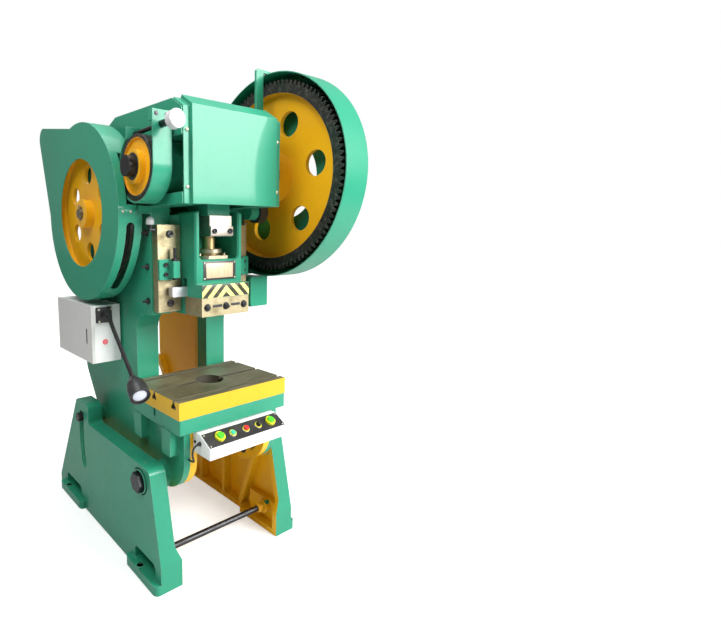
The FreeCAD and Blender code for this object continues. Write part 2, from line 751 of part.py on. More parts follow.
def foot(y0, y1, wall_y0, wall_y1):
    """The widened foot under one end of a leg and its lug with a bolt hole."""
    taper = [
        (LEG_INNER + 1, FOOT_TAPER_Z, 0),
        (LEG_INNER + 1, 0, 0),
        (FOOT_INNER, 0, 0),
        (FOOT_INNER, FOOT_WALL_Z, 0),
    ]
    side = Part.Face(outline(leg_outline(), in_yz(FOOT_INNER)))
    wall = plate_y(taper, wall_y0, wall_y1).common(side.extrude(Vector(LEG_OUTER - FOOT_INNER, 0, 0)))
    lug = plate_z(
        [
            (LEG_OUTER - LUG_ROOT, y0, 0),
            (LUG_OUTER, y0, LUG_ROUND),
            (LUG_OUTER, y1, LUG_ROUND),
            (LEG_OUTER - LUG_ROOT, y1, 0),
        ],
        0,
        LUG_THICK,
    )
    pocket_back = box(
        LEG_OUTER - POCKET_DEEP - LUG_ROOT,
        LEG_OUTER - LEG_WEB,
        y0 + POCKET_INSET - LUG_ROOT,
        y1 - POCKET_INSET + LUG_ROOT,
        LEG_FLANGE,
        POCKET_TOP_Z + POCKET_ROUND,
    )
    return [wall, box(FOOT_INNER, LEG_INNER, y0, y1, 0, LEG_FLANGE), lug, pocket_back]


def right_leg():
    """The right leg: one casting, a ribbed web inside a deep flange."""
    face = Part.Face(outline(leg_outline(), in_yz(LEG_INNER)))
    solid = face.extrude(Vector(LEG_OUTER - LEG_INNER, 0, 0))
    hollow = Part.Face(face.makeOffset2D(-LEG_FLANGE).Wires[0])
    solid = solid.cut(hollow.extrude(Vector(LEG_OUTER - LEG_WEB - LEG_INNER, 0, 0)))
    web_x = LEG_OUTER - LEG_WEB
    front_lug = (LEG_FRONT_Y, LEG_FRONT_Y + FRONT_LUG)
    rear_lug = (FOUNDATION_Y + REAR_LUG[0], FOUNDATION_Y + REAR_LUG[1])
    ribs = [
        box(LEG_INNER, web_x, y, y + RIB_THICK, LEG_FLANGE, LEG_TOP_Z - LEG_FLANGE)
        for y in RIBS_Y
    ]
    brace = [
        (BRACE_TOP[0], BRACE_TOP[1], 0),
        (BRACE_TOP[0] + BRACE_WIDE, BRACE_TOP[1], 0),
        (BRACE_FOOT[0] + BRACE_WIDE, BRACE_FOOT[1], 0),
        (BRACE_FOOT[0], BRACE_FOOT[1], 0),
    ]
    ribs += [
        plate_x(brace, LEG_INNER, web_x),
        round_x(PIVOT_BOSS_R, LEG_INNER, web_x, PIVOT_Y, PIVOT_Z),
        slot_ring(SLOT_WIDTH + SLOT_BOSS, web_x - SLOT_BOSS_HIGH, web_x, SLOT_BOSS_SPREAD),
        round_x(TIE_BOSS_R, LEG_INNER - TIE_BOSS_PROUD, web_x, TIE_Y, TIE_Z),
    ]
    feet = foot(*front_lug, LEG_FRONT_Y, LEG_FRONT_Y + LEG_FLANGE)
    feet += foot(*rear_lug, LEG_REAR_Y - LEG_FLANGE, LEG_REAR_Y)
    solid = fuse([solid] + ribs + feet)
    inside = LEG_INNER - TIE_BOSS_PROUD - 1
    recess = (LEG_OUTER - SLOT_RECESS, LEG_OUTER + 1)
    cuts = [
        round_x(PIVOT_R + RUN_GAP, inside, LEG_OUTER + 1, PIVOT_Y, PIVOT_Z),
        round_x(PIVOT_RECESS_R, LEG_OUTER - PIVOT_RECESS, LEG_OUTER + 1, PIVOT_Y, PIVOT_Z),
        slot_ring(SLOT_WIDTH, LEG_INNER, LEG_OUTER + 1, 0),
        slot_ring(SLOT_WIDTH + SLOT_RECESS_WIDE, *recess, SLOT_RECESS_SPREAD),
        round_x(TIE_R + RUN_GAP, inside, web_x - TIE_DEEP, TIE_Y, TIE_Z),
    ]
    for lug_y, (y0, y1) in ((-FOUNDATION_Y, front_lug), (FOUNDATION_Y, rear_lug)):
        pocket = [
            (y0 + POCKET_INSET, LUG_THICK, 8),
            (y1 - POCKET_INSET, LUG_THICK, 8),
            (y1 - POCKET_INSET, POCKET_TOP_Z, POCKET_ROUND),
            (y0 + POCKET_INSET, POCKET_TOP_Z, POCKET_ROUND),
        ]
        cuts.append(plate_x(pocket, LEG_OUTER - POCKET_DEEP, LEG_OUTER + 1))
        cuts.append(round_z(FOUNDATION_HOLE_R, -1, LUG_THICK + 1, FOUNDATION_X, lug_y))
    return solid.cut(cuts)


def tie_rod():
    """The rod that ties the two legs low at the front."""
    reach = LEG_OUTER - LEG_WEB - TIE_DEEP
    return round_x(TIE_R, -reach + 1, reach - 1, TIE_Y, TIE_Z)


# ---------------------------------------------------------------------- body
def cheek_outline():
    """The side view of a cheek: lobe, table front, throat, head and rear."""
    return [
        (CHEEK_FRONT_Y, CHEEK_BOTTOM_Z, LOBE_R),
        (CHEEK_FRONT_Y, SLAB_TOP_Z, 0),
        (COLUMN_Y, SLAB_TOP_Z, 0),
        (COLUMN_Y, JAW_Z, JAW_R),
        (WAY_Y, JAW_Z, 0),
        (WAY_Y, HEAD_BOTTOM_Z, 0),
        (HEAD_FRONT_Y, HEAD_BOTTOM_Z, 0),
        (HEAD_FRONT_Y, HEAD_FRONT_TOP_Z, 12),
        (ROOF_Y, ROOF_Z, 20),
        (HEAD_TOP_Y, HEAD_TOP_Z, HEAD_ROUND),
        (HEAD_REAR_Y, HEAD_REAR_Z, HEAD_ROUND),
        (BODY_REAR_Y, SLOPE_LOW_Z, 60),
        (BODY_REAR_Y, REAR_LOW_Z, 70),
        (CLAMP_Y + HEEL[0], HEEL[1], 60),
        (CLAMP_Y + HEEL_LOW[0], HEEL_LOW[1], 50),
    ]


def head_outline():
    """The side view of the thick front of a cheek, column and head."""
    column_back = COLUMN_Y + COLUMN_DEEP
    return [
        (COLUMN_Y, SLAB_TOP_Z - 1, 0),
        (COLUMN_Y, JAW_Z, JAW_R),
        (WAY_Y, JAW_Z, 0),
        (WAY_Y, HEAD_BOTTOM_Z, 0),
        (HEAD_FRONT_Y, HEAD_BOTTOM_Z, 0),
        (HEAD_FRONT_Y, HEAD_FRONT_TOP_Z, 12),
        (ROOF_Y, ROOF_Z, 20),
        (HEAD_TOP_Y, HEAD_TOP_Z, HEAD_ROUND),
        (HEAD_TOP_Y, JAW_Z + THICK_HEAD_UP, 70),
        (column_back, JAW_Z + THICK_COLUMN_UP, 70),
        (column_back, SLAB_TOP_Z - 1, 0),
    ]


def cheek():
    """The right cheek with its rims, bosses and lugs."""
    plate_x0 = BODY_HALF - CHEEK_THICK
    face = Part.Face(outline(cheek_outline(), in_yz(plate_x0)))
    plate = face.extrude(Vector(CHEEK_THICK, 0, 0))
    rim_x0 = BODY_HALF - CHEEK_RIM
    rim = face.extrude(Vector(CHEEK_THICK - CHEEK_RIM, 0, 0))
    inner = Part.Face(face.makeOffset2D(-RIM_DEEP).Wires[0])
    rim = rim.cut(inner.extrude(Vector(CHEEK_THICK - CHEEK_RIM, 0, 0)))
    lower = box(rim_x0, plate_x0, CHEEK_FRONT_Y - 1, BODY_REAR_Y + 1, CHEEK_BOTTOM_Z - 1, SLAB_TOP_Z)
    rim = rim.common(lower)
    boss_end = LEG_INNER - SEAT_GAP
    bearing = (plate_x0 - BEARING_BOSS_IN, BODY_HALF + BEARING_BOSS_OUT)
    pieces = [
        plate,
        rim,
        plate_x(head_outline(), INNER_HALF, plate_x0),
        round_x(PIVOT_BOSS[0], BODY_HALF, boss_end, PIVOT_Y, PIVOT_Z),
        round_x(PIVOT_BOSS[1], rim_x0, plate_x0, PIVOT_Y, PIVOT_Z),
        round_x(CLAMP_BOSS_R, BODY_HALF, boss_end, CLAMP_Y, CLAMP_Z),
        round_x(CLAMP_BOSS_R, plate_x0 - CLAMP_BOSS_IN, plate_x0, CLAMP_Y, CLAMP_Z),
        round_x(BEARING_BOSS_R, *bearing, SECOND_Y, SECOND_Z),
    ]
    for along in SIDE_LUGS:
        y = RAM_Y + along
        pieces.append(box(BODY_HALF, boss_end, y, y + SIDE_LUG_WIDE, SIDE_LUG_Z, SLAB_BOTTOM_Z))
    return fuse(pieces)


def press_body():
    """The open-back frame: two cheeks, the table and the head in one casting."""
    half = TABLE_WIDTH / 2
    slab = plate_z(
        [
            (-half, TABLE_FRONT_Y, 8),
            (half, TABLE_FRONT_Y, 8),
            (half, TABLE_REAR_Y + SLAB_LAP, 20),
            (-half, TABLE_REAR_Y + SLAB_LAP, 20),
        ],
        SLAB_BOTTOM_Z,
        SLAB_TOP_Z,
    )
    pieces = both_sides(cheek()) + [
        slab,
        box(-INNER_HALF, INNER_HALF, TABLE_REAR_Y, COLUMN_Y + COLUMN_DEEP, SLAB_BOTTOM_Z, SLAB_TOP_Z),
        plate_x(
            [
                (ROOF_Y, ROOF_Z, 0),
                (HEAD_TOP_Y, HEAD_TOP_Z, 0),
                (HEAD_TOP_Y, HEAD_TOP_Z - ROOF_THICK, 0),
                (ROOF_Y, ROOF_Z - ROOF_THICK, 0),
            ],
            -INNER_HALF,
            INNER_HALF,
        ),
        box(-INNER_HALF, INNER_HALF, *CROSS_WALL, *CROSS_WALL_Z),
        box(
            -INNER_HALF,
            INNER_HALF,
            HEAD_TOP_Y - ROOF_WALL,
            HEAD_TOP_Y,
            ROOF_WALL_Z,
            HEAD_TOP_Z - ROOF_THICK,
        ),
        round_x(TRIP_BOSS_R, BODY_HALF - CHEEK_THICK, TRIP_ROD_X - TRIP_EYE, RAM_Y, TRIP_LEVER_Z),
        round_x(TRIP_STUB_R, BODY_HALF, TRIP_STUB_END, RAM_Y, TRIP_LEVER_Z),
    ]
    solid = fuse(pieces)
    tip = RAM_V_TIP + SLIDE_GAP
    way_depth = tip - RAM_HALF
    cap_bottom = CRANK_Z - CAP_HALF
    cap_top = CRANK_Z + CAP_HALF
    bearing_end = BODY_HALF + BEARING_BOSS_OUT + 1
    cuts = [
        round_x(BUSH_R + RUN_GAP, -BODY_HALF - 1, BODY_HALF + 1, RAM_Y, CRANK_Z),
        round_x(SECOND_R + BUSH_WALL + RUN_GAP, -bearing_end, bearing_end, SECOND_Y, SECOND_Z),
        round_z(SLAB_HOLE_R, SLAB_BOTTOM_Z - 1, SLAB_TOP_Z + 1, 0, RAM_Y),
        plate_z(
            [
                (-tip, WAY_Y - 1, 0),
                (-tip, WAY_Y, 0),
                (-tip + way_depth, WAY_Y + way_depth, 0),
                (tip - way_depth, WAY_Y + way_depth, 0),
                (tip, WAY_Y, 0),
                (tip, WAY_Y - 1, 0),
            ],
            JAW_Z - 1,
            HEAD_BOTTOM_Z + 1,
        ),
    ]
    pivot_hole = round_x(PIVOT_R + RUN_GAP, BODY_HALF - CHEEK_RIM - 1, LEG_INNER + 1, PIVOT_Y, PIVOT_Z)
    clamp_start = BODY_HALF - CHEEK_THICK - CLAMP_BOSS_IN - 1
    clamp_hole = round_x(CLAMP_R + RUN_GAP, clamp_start, LEG_INNER + 1, CLAMP_Y, CLAMP_Z)
    cap_seat = box(
        INNER_HALF - 1, BODY_HALF + 1, HEAD_FRONT_Y - 1, RAM_Y, cap_bottom, cap_top
    )
    side_slot = box(
        half - SIDE_SLOT_DEEP,
        half + 1,
        RAM_Y - SIDE_SLOT / 2,
        RAM_Y + SIDE_SLOT / 2,
        SLAB_TOP_Z - SIDE_SLOT_Z,
        SLAB_TOP_Z + 1,
    )
    for shape in (pivot_hole, clamp_hole, cap_seat, side_slot):
        cuts += both_sides(shape)
    for z in GIB_SCREW_Z:
        screw_start = BODY_HALF - GIB_SCREW_DEEP
        cuts += both_sides(round_x(GIB_SCREW_R, screw_start, BODY_HALF + 1, GIB_SCREW_Y, z))
    return solid.cut(cuts)


def pivot_bolts():
    """The two bolts that the body tilts on, heads in the legs' recesses."""
    seat = LEG_OUTER - PIVOT_RECESS
    pin = round_x(PIVOT_R, BODY_HALF - CHEEK_RIM, seat + 1, PIVOT_Y, PIVOT_Z)
    head = hexagon_x(PIVOT_HEAD, seat + SEAT_GAP, LEG_OUTER + PIVOT_HEAD_PROUD, PIVOT_Y, PIVOT_Z)
    return both_sides(fuse([pin, head]))


def clamp_bolts():
    """The two bolts in the arc slots that hold the body at its tilt."""
    seat = LEG_OUTER - SLOT_RECESS + SEAT_GAP
    start = seat + CLAMP_WASHER - 1
    shank = round_x(CLAMP_R, BODY_HALF - CHEEK_THICK, seat + 1, CLAMP_Y, CLAMP_Z)
    washer = round_x(CLAMP_WASHER_R, seat, seat + CLAMP_WASHER, CLAMP_Y, CLAMP_Z)
    head = hexagon_x(CLAMP_HEAD, start, start + CLAMP_HEAD_HIGH, CLAMP_Y, CLAMP_Z)
    return both_sides(fuse([shank, washer, head]))


def bolster_plate():
    """The steel plate on the table, with its T-slots and centre hole."""
    half = TABLE_WIDTH / 2
    solid = box(-half, half, TABLE_FRONT_Y, TABLE_REAR_Y, SLAB_TOP_Z, TABLE_TOP_Z)
    cuts = [round_z(TABLE_HOLE_R, SLAB_TOP_Z - 1, TABLE_TOP_Z + 1, 0, RAM_Y)]
    head_z = TABLE_TOP_Z - T_SLOT_DEPTH
    for row in (-1, 0, 1):
        y = RAM_Y + row * T_SLOT_PITCH
        neck = T_SLOT_WIDTH / 2
        head = T_SLOT_HEAD / 2
        cuts.append(box(-half - 1, half + 1, y - neck, y + neck, head_z, TABLE_TOP_Z + 1))
        cuts.append(box(-half - 1, half + 1, y - head, y + head, head_z, head_z + BOLSTER_HEAD_HIGH))
    return solid.cut(cuts)


# ----------------------------------------------------------------------- ram
def ram():
    """The ram: a V-guided slide with an open window at its top."""
    lower = box(-RAM_HALF, RAM_HALF, RAM_LOWER_Y, RAM_BACK_Y, RAM_BOTTOM_Z, RAM_LOWER_TOP_Z)
    upper = plate_y(
        [
            (-RAM_HALF, RAM_LOWER_TOP_Z - 1, 0),
            (RAM_HALF, RAM_LOWER_TOP_Z - 1, 0),
            (RAM_HALF, RAM_TOP_Z, 10),
            (-RAM_HALF, RAM_TOP_Z, 10),
        ],
        RAM_UPPER_Y,
        RAM_BACK_Y,
    )
    wing = RAM_V_TIP - RAM_HALF
    guide = plate_z(
        [
            (RAM_HALF - 1, WAY_Y - wing - 1, 0),
            (RAM_V_TIP, WAY_Y, 2),
            (RAM_HALF - 1, WAY_Y + wing + 1, 0),
        ],
        RAM_BOTTOM_Z + GUIDE_LOW,
        RAM_TOP_Z - GUIDE_HIGH,
    )
    solid = fuse([lower, upper] + both_sides(guide))
    window = plate_y(
        [
            (-WINDOW_HALF, WINDOW_Z, 16),
            (WINDOW_HALF, WINDOW_Z, 16),
            (WINDOW_HALF, RAM_TOP_Z + 1, 0),
            (-WINDOW_HALF, RAM_TOP_Z + 1, 0),
        ],
        RAM_UPPER_Y - 1,
        WINDOW_BACK_Y,
    )
    seat = Part.makeSphere(BALL_R + RUN_GAP, Vector(0, RAM_Y, BALL_Z))
    neck = round_z(BALL_R + RUN_GAP, BALL_Z, WINDOW_Z + 1, 0, RAM_Y)
    shank = round_z(SHANK_R, RAM_BOTTOM_Z - 1, RAM_BOTTOM_Z + SHANK_DEPTH, 0, RAM_Y)
    block = box(
        -RAM_HALF - 1, RAM_HALF + 1, RAM_LOWER_Y - 1, RAM_Y + LOOSE_GAP, RAM_BOTTOM_Z - 1, CLAMP_TOP_Z
    )
    knock_slot = box(
        -RAM_HALF - 1,
        RAM_HALF + 1,
        RAM_Y - KNOCK_THICK / 2 - LOOSE_GAP,
        RAM_Y + KNOCK_THICK / 2 + LOOSE_GAP,
        CLAMP_TOP_Z - LOOSE_GAP,
        CLAMP_TOP_Z + KNOCK_HIGH + KNOCK_TRAVEL + 2 * LOOSE_GAP,
    )
    solid = solid.cut([window, seat, neck, block, shank, knock_slot])
    front = [
        edge for edge in solid.Edges
        if abs(edge.CenterOfMass.y - RAM_UPPER_Y) < 0.01 and edge.CenterOfMass.z > RAM_LOWER_TOP_Z + 1
    ]
    return solid.makeChamfer(RAM_CHAMFER, front)


def shank_clamp():
    """The front half of the shank holder."""
    solid = box(
        -RAM_HALF, RAM_HALF, RAM_LOWER_Y + 2, RAM_Y - 2, RAM_BOTTOM_Z + 1, CLAMP_TOP_Z - LOOSE_GAP
    )
    cuts = [round_z(SHANK_R, RAM_BOTTOM_Z - 1, RAM_BOTTOM_Z + SHANK_DEPTH, 0, RAM_Y)]
    z = RAM_BOTTOM_Z + SHANK_BOLT_UP
    for x in SHANK_BOLTS_X:
        cuts.append(round_y(SHANK_BOLT_R + LOOSE_GAP, RAM_LOWER_Y - 1, RAM_Y, x, z))
    return solid.cut(cuts)


def ball_cap():
    """The dark flange that keeps the screw's ball in the ram."""
    top = WINDOW_Z + BALL_CAP
    front = RAM_UPPER_Y + BALL_CAP_FRONT
    solid = round_z(BALL_CAP_R, WINDOW_Z + SEAT_GAP, top, 0, RAM_Y)
    solid = solid.common(box(-BALL_CAP_R, BALL_CAP_R, front, WINDOW_BACK_Y - 1, WINDOW_Z, top))
    solid = solid.cut(round_z(SCREW_R + CAP_SCREW_ROOM, WINDOW_Z - 1, top + 1, 0, RAM_Y))
    for angle in CAP_BOLT_ANGLES:
        x = CAP_BOLT_CIRCLE * math.cos(math.radians(angle))
        y = RAM_Y + CAP_BOLT_CIRCLE * math.sin(math.radians(angle))
        solid = solid.fuse(round_z(CAP_BOLT_R, top - 1, top + CAP_BOLT_HIGH, x, y))
    return solid.removeSplitter()


def adjusting_screw():
    """The ball screw that sets the die height, with its tommy collar."""
    shaft = round_z(SCREW_R, BALL_Z + BALL_R / 2, SCREW_TOP_Z, 0, RAM_Y)
    ball = Part.makeSphere(BALL_R, Vector(0, RAM_Y, BALL_Z))
    bottom = WINDOW_Z + BALL_CAP + SCREW_COLLAR_UP
    collar = round_z(SCREW_COLLAR_R, bottom, bottom + SCREW_COLLAR, 0, RAM_Y)
    solid = fuse([shaft, ball, collar])
    holes = []
    for angle in range(0, 180, 45):
        direction = Vector(math.cos(math.radians(angle)), math.sin(math.radians(angle)), 0)
        centre = Vector(0, RAM_Y, bottom + SCREW_COLLAR / 2)
        for turn in (1, -1):
            start = centre + direction * turn * (SCREW_COLLAR_R - TOMMY_DEEP)
            holes.append(Part.makeCylinder(TOMMY_R, TOMMY_DEEP + 1, start, direction * turn))
    return solid.cut(holes)


def connecting_rod():
    """The rod: the big end round the eccentric, the shank and the nut half."""
    eye = round_x(ROD_EYE_R, -ROD_EYE_HALF, ROD_EYE_HALF, RAM_Y, ROD_Z)
    shoulder = ROD_CLAMP_TOP_Z + ROD_SHOULDER
    neck = ROD_EYE_HALF - ROD_NECK
    shank = plate_y(
        [
            (-ROD_HALF, ROD_CLAMP_Z, 0),
            (ROD_HALF, ROD_CLAMP_Z, 0),
            (ROD_HALF, shoulder, ROD_SHOULDER),
            (neck, ROD_Z - ROD_NECK_DROP, 0),
            (-neck, ROD_Z - ROD_NECK_DROP, 0),
            (-ROD_HALF, shoulder, ROD_SHOULDER),
        ],
        RAM_Y - ROD_DEEP,
        RAM_Y + ROD_DEEP,
    )
    solid = fuse([eye, shank] + rod_ears())
    return solid.cut([
        box(-ROD_HALF - 1, ROD_HALF + 1, ROD_FRONT_Y, RAM_Y + 1, ROD_CLAMP_Z - 1, ROD_CLAMP_TOP_Z),
        above_split(ROD_Z),
        round_x(SLEEVE_R + RUN_GAP, -ROD_EYE_HALF - 1, ROD_EYE_HALF + 1, RAM_Y, ROD_Z),
        round_z(SCREW_R + RUN_GAP, ROD_CLAMP_Z - 1, ROD_BORE_TOP_Z, 0, RAM_Y),
    ])


def rod_clamp():
    """The front half of the nut, which the two bolts draw on to the screw."""
    solid = box(
        -ROD_HALF, ROD_HALF, ROD_FRONT_Y, RAM_Y + 1 - LOOSE_GAP, ROD_CLAMP_Z, ROD_CLAMP_TOP_Z - LOOSE_GAP
    )
    cuts = [round_z(SCREW_R + RUN_GAP, ROD_CLAMP_Z - 1, ROD_CLAMP_TOP_Z + 1, 0, RAM_Y)]
    z = ROD_CLAMP_Z + ROD_BOLT_UP
    for x in (-ROD_BOLT_X, ROD_BOLT_X):
        cuts.append(round_y(ROD_BOLT_R + LOOSE_GAP, ROD_FRONT_Y - 1, RAM_Y + 2, x, z))
    return solid.cut(cuts)


def knockout_bar():
    """The flat bar through the ram that throws the workpiece out."""
    z0 = CLAMP_TOP_Z + LOOSE_GAP
    half = KNOCK_THICK / 2
    ends = [
        (-KNOCK_HALF, z0, 8),
        (KNOCK_HALF, z0, 8),
        (KNOCK_HALF, z0 + KNOCK_HIGH, 2),
        (-KNOCK_HALF, z0 + KNOCK_HIGH, 2),
    ]
    return plate_y(ends, RAM_Y - half, RAM_Y + half)


# ---------------------------------------------------------------------- gibs
def right_gib():
    """The right front guide, bevelled to the ram's V, with its screw holes."""
    back = WAY_Y - SEAT_GAP
    front = WAY_Y - GIB_THICK
    tip = RAM_V_TIP + SLIDE_GAP
    inner = RAM_HALF + GIB_LIP
    solid = plate_z(
        [
            (GIB_OUTER, back, 0),
            (GIB_OUTER, front, 2),
            (inner, front, 0),
            (inner, WAY_Y - (tip - inner), 0),
            (tip, back, 0),
        ],
        GIB_BOTTOM_Z,
        GIB_TOP_Z,
    )
    cuts = []
    for z in (GIB_BOTTOM_Z + GIB_BOLT_INSET, GIB_TOP_Z - GIB_BOLT_INSET):
        cuts.append(round_y(GIB_BOLT_R + LOOSE_GAP, front - 1, back + 1, GIB_BOLT_X, z))
    return solid.cut(cuts)


def right_knockout_bracket():
    """The bracket on the right gib that carries a knock-out stop screw."""
    face = WAY_Y - GIB_THICK - SEAT_GAP
    back = face - BRACKET_THICK
    inner = STOP_SCREW_X - BRACKET_INNER
    base = box(inner, GIB_OUTER, back, face, BRACKET_BOTTOM_Z, BRACKET_TOP_Z)
    lug = box(
        STOP_SCREW_X + BRACKET_LUG[0],
        STOP_SCREW_X + BRACKET_LUG[1],
        RAM_Y - BRACKET_LUG_DEEP,
        back + 1,
        BRACKET_BOTTOM_Z + BRACKET_LUG_INSET,
        BRACKET_TOP_Z - BRACKET_LUG_INSET,
    )
    screw_y = RAM_Y - STOP_SCREW_AHEAD
    hole = round_z(STOP_SCREW_R + RUN_GAP, BRACKET_BOTTOM_Z, BRACKET_TOP_Z, STOP_SCREW_X, screw_y)
    return fuse([base, lug]).cut(hole)


# --------------------------------------------------------------- crank drive
def eccentric_sleeve():
    """The sleeve between the crankpin and the rod, which sets the stroke."""
    solid = round_x(SLEEVE_R, -SLEEVE_HALF, SLEEVE_HALF, RAM_Y, ROD_Z)
    return solid.cut(round_x(PIN_R + RUN_GAP, -SLEEVE_HALF - 1, SLEEVE_HALF + 1, RAM_Y, PIN_Z))


def crankshaft():
    """The crankshaft, with two round webs and a short throw."""
    seat = BODY_HALF + 2
    return fuse([
        round_x(SHAFT_LEFT_R, SHAFT_LEFT_X, -seat, RAM_Y, CRANK_Z),
        round_x(JOURNAL_R, -seat, -CRANK_WEB_END, RAM_Y, CRANK_Z),
        round_x(CRANK_WEB_R, -CRANK_WEB_END, -PIN_HALF, RAM_Y, CRANK_Z),
        round_x(PIN_R, -PIN_HALF, PIN_HALF, RAM_Y, PIN_Z),
        round_x(CRANK_WEB_R, PIN_HALF, CRANK_WEB_END, RAM_Y, CRANK_Z),
        round_x(JOURNAL_R, CRANK_WEB_END, seat, RAM_Y, CRANK_Z),
        round_x(GEAR_SEAT_R, seat, SHAFT_RIGHT_X, RAM_Y, CRANK_Z),
    ])


def crank_end_plate():
    """The disc on the crankshaft's end that keeps the big gear in place."""
    start = SHAFT_RIGHT_X + SEAT_GAP
    end = start + END_PLATE
    solid = round_x(END_PLATE_R, start, end, RAM_Y, CRANK_Z)
    for angle in END_BOLT_ANGLES:
        y = RAM_Y + END_BOLT_CIRCLE * math.cos(math.radians(angle))
        z = CRANK_Z + END_BOLT_CIRCLE * math.sin(math.radians(angle))
        solid = solid.fuse(round_x(END_BOLT_R, end - 1, end + END_BOLT_HIGH, y, z))
    return solid.removeSplitter()


def clutch_collar():
    """The collar of the turning-key clutch, with the tail that trips it."""
    start = BODY_HALF + COLLAR_OUT
    end = GEAR_HUB_X - COLLAR_GAP
    half = COLLAR_TAIL_WIDE / 2
    ring = round_x(COLLAR_R, start, end, RAM_Y, CRANK_Z)
    tail = box(
        start + COLLAR_TAIL_IN[0],
        end - COLLAR_TAIL_IN[1],
        RAM_Y - half,
        RAM_Y + half,
        CRANK_Z,
        CRANK_Z + COLLAR_R + COLLAR_TAIL,
    )
    bore = round_x(GEAR_SEAT_R + RUN_GAP, start - 1, end + 1, RAM_Y, CRANK_Z)
    return fuse([ring, tail]).cut(bore)


def crank_bushes():
    """The two bearing bushes of the crankshaft."""
    ring = round_x(BUSH_R, INNER_HALF, BODY_HALF, RAM_Y, CRANK_Z)
    ring = ring.cut(round_x(JOURNAL_R + RUN_GAP, INNER_HALF - 1, BODY_HALF + 1, RAM_Y, CRANK_Z))
    return both_sides(ring)


def bearing_caps():
    """The caps that close the crankshaft's bearings at the front."""
    bottom = CRANK_Z - CAP_HALF + LOOSE_GAP
    top = CRANK_Z + CAP_HALF - LOOSE_GAP
    cap = plate_x(
        [
            (RAM_Y - SEAT_GAP, bottom, 0),
            (RAM_Y - CAP_DEEP + CAP_BEVEL, bottom, 10),
            (RAM_Y - CAP_DEEP, CRANK_Z - CAP_FLAT, 30),
            (RAM_Y - CAP_DEEP, CRANK_Z + CAP_FLAT, 30),
            (RAM_Y - CAP_DEEP + CAP_BEVEL, top, 10),
            (RAM_Y - SEAT_GAP, top, 0),
        ],
        INNER_HALF,
        BODY_HALF - CAP_INSET,
    )
    cap = cap.cut(round_x(BUSH_R + RUN_GAP, INNER_HALF - 1, BODY_HALF + 1, RAM_Y, CRANK_Z))
    return both_sides(cap)


def rod_ears():
    """The lugs on both sides of the rod's eye that the cap's bolts pass."""
    half = ROD_EYE_HALF - ROD_EAR_INSET
    return [
        box(
            -half,
            half,
            RAM_Y + side - ROD_EAR_DEEP,
            RAM_Y + side + ROD_EAR_DEEP,
            ROD_Z - ROD_EAR_HALF,
            ROD_Z + ROD_EAR_HALF,
        )
        for side in (-ROD_EAR_Y, ROD_EAR_Y)
    ]


def above_split(level):
    """A block round all of the rod's big end above a level."""
    half = ROD_HALF + 1
    reach = ROD_EAR_Y + ROD_EAR_DEEP + 1
    return box(-half, half, RAM_Y - reach, RAM_Y + reach, level, ROD_Z + ROD_EYE_R + 1)


def rod_cap():
    """The upper half of the rod's big end."""
    eye = round_x(ROD_EYE_R, -ROD_EYE_HALF, ROD_EYE_HALF, RAM_Y, ROD_Z)
    solid = fuse([eye] + rod_ears())
    solid = solid.common(above_split(ROD_Z + SEAT_GAP))
    return solid.cut(round_x(SLEEVE_R + RUN_GAP, -ROD_EYE_HALF - 1, ROD_EYE_HALF + 1, RAM_Y, ROD_Z))


# ----------------------------------------------------------------- gear pair
def involute(base, radius):
    """Angle by which an involute has turned at a radius, in radians."""
    if radius <= base:
        return 0.0
    pressure = math.acos(base / radius)
    return math.tan(pressure) - pressure


def gear_points(teeth, turn):
    """Corner points of a spur gear with one tooth centred at an angle."""
    pitch = MODULE * teeth / 2
    base = pitch * math.cos(math.radians(PRESSURE_ANGLE))
    root = pitch - 1.25 * MODULE
    tip = pitch + MODULE
    half_pitch = math.pi / (2 * teeth) - BACKLASH / (4 * pitch)
    start = half_pitch + involute(base, pitch)
    middle = max(base, (root + pitch) / 2)
    flank = [(radius, start - involute(base, radius)) for radius in (root, middle, pitch, tip)]
    points = []
    for tooth in range(teeth):
        centre = turn + 2 * math.pi * tooth / teeth
        for radius, angle in flank:
            points.append((radius, centre - angle))
        for radius, angle in reversed(flank):
            points.append((radius, centre + angle))
    return points


def gear_face(teeth, turn, y, z, x):
    """The toothed outline of a gear as a face at x."""
    corners = [
        Vector(x, y + radius * math.cos(angle), z + radius * math.sin(angle))
        for radius, angle in gear_points(teeth, turn)
    ]
    return Part.Face(Part.makePolygon(corners + [corners[0]]))


def bull_gear():
    """The big gear, running free on the crankshaft until the clutch engages."""
    x0 = GEAR_LEFT_X
    x1 = GEAR_LEFT_X + GEAR_WIDTH
    turn = math.radians(SECOND_ANGLE)
    teeth = gear_face(GEAR_TEETH, turn, RAM_Y, CRANK_Z, x0).extrude(Vector(GEAR_WIDTH, 0, 0))
    left = round_x(GEAR_RIM_R, x0 - 1, GEAR_WEB_X, RAM_Y, CRANK_Z)
    right = round_x(GEAR_RIM_R, GEAR_WEB_X + GEAR_WEB, x1 + 1, RAM_Y, CRANK_Z)
    solid = teeth.cut([left, right])
    hub = round_x(GEAR_HUB_R, GEAR_HUB_X, SHAFT_RIGHT_X - 1, RAM_Y, CRANK_Z)
    solid = solid.fuse(hub)
    cuts = [round_x(GEAR_SEAT_R + RUN_GAP, GEAR_HUB_X - 1, SHAFT_RIGHT_X + 1, RAM_Y, CRANK_Z)]
    for index in range(GEAR_HOLES):
        angle = math.radians(GEAR_HOLE_ANGLE + 360 * index / GEAR_HOLES)
        y = RAM_Y + GEAR_HOLE_CIRCLE * math.cos(angle)
        z = CRANK_Z + GEAR_HOLE_CIRCLE * math.sin(angle)
        cuts.append(round_x(GEAR_HOLE_R, GEAR_WEB_X - 1, GEAR_WEB_X + GEAR_WEB + 1, y, z))
    return solid.cut(cuts)


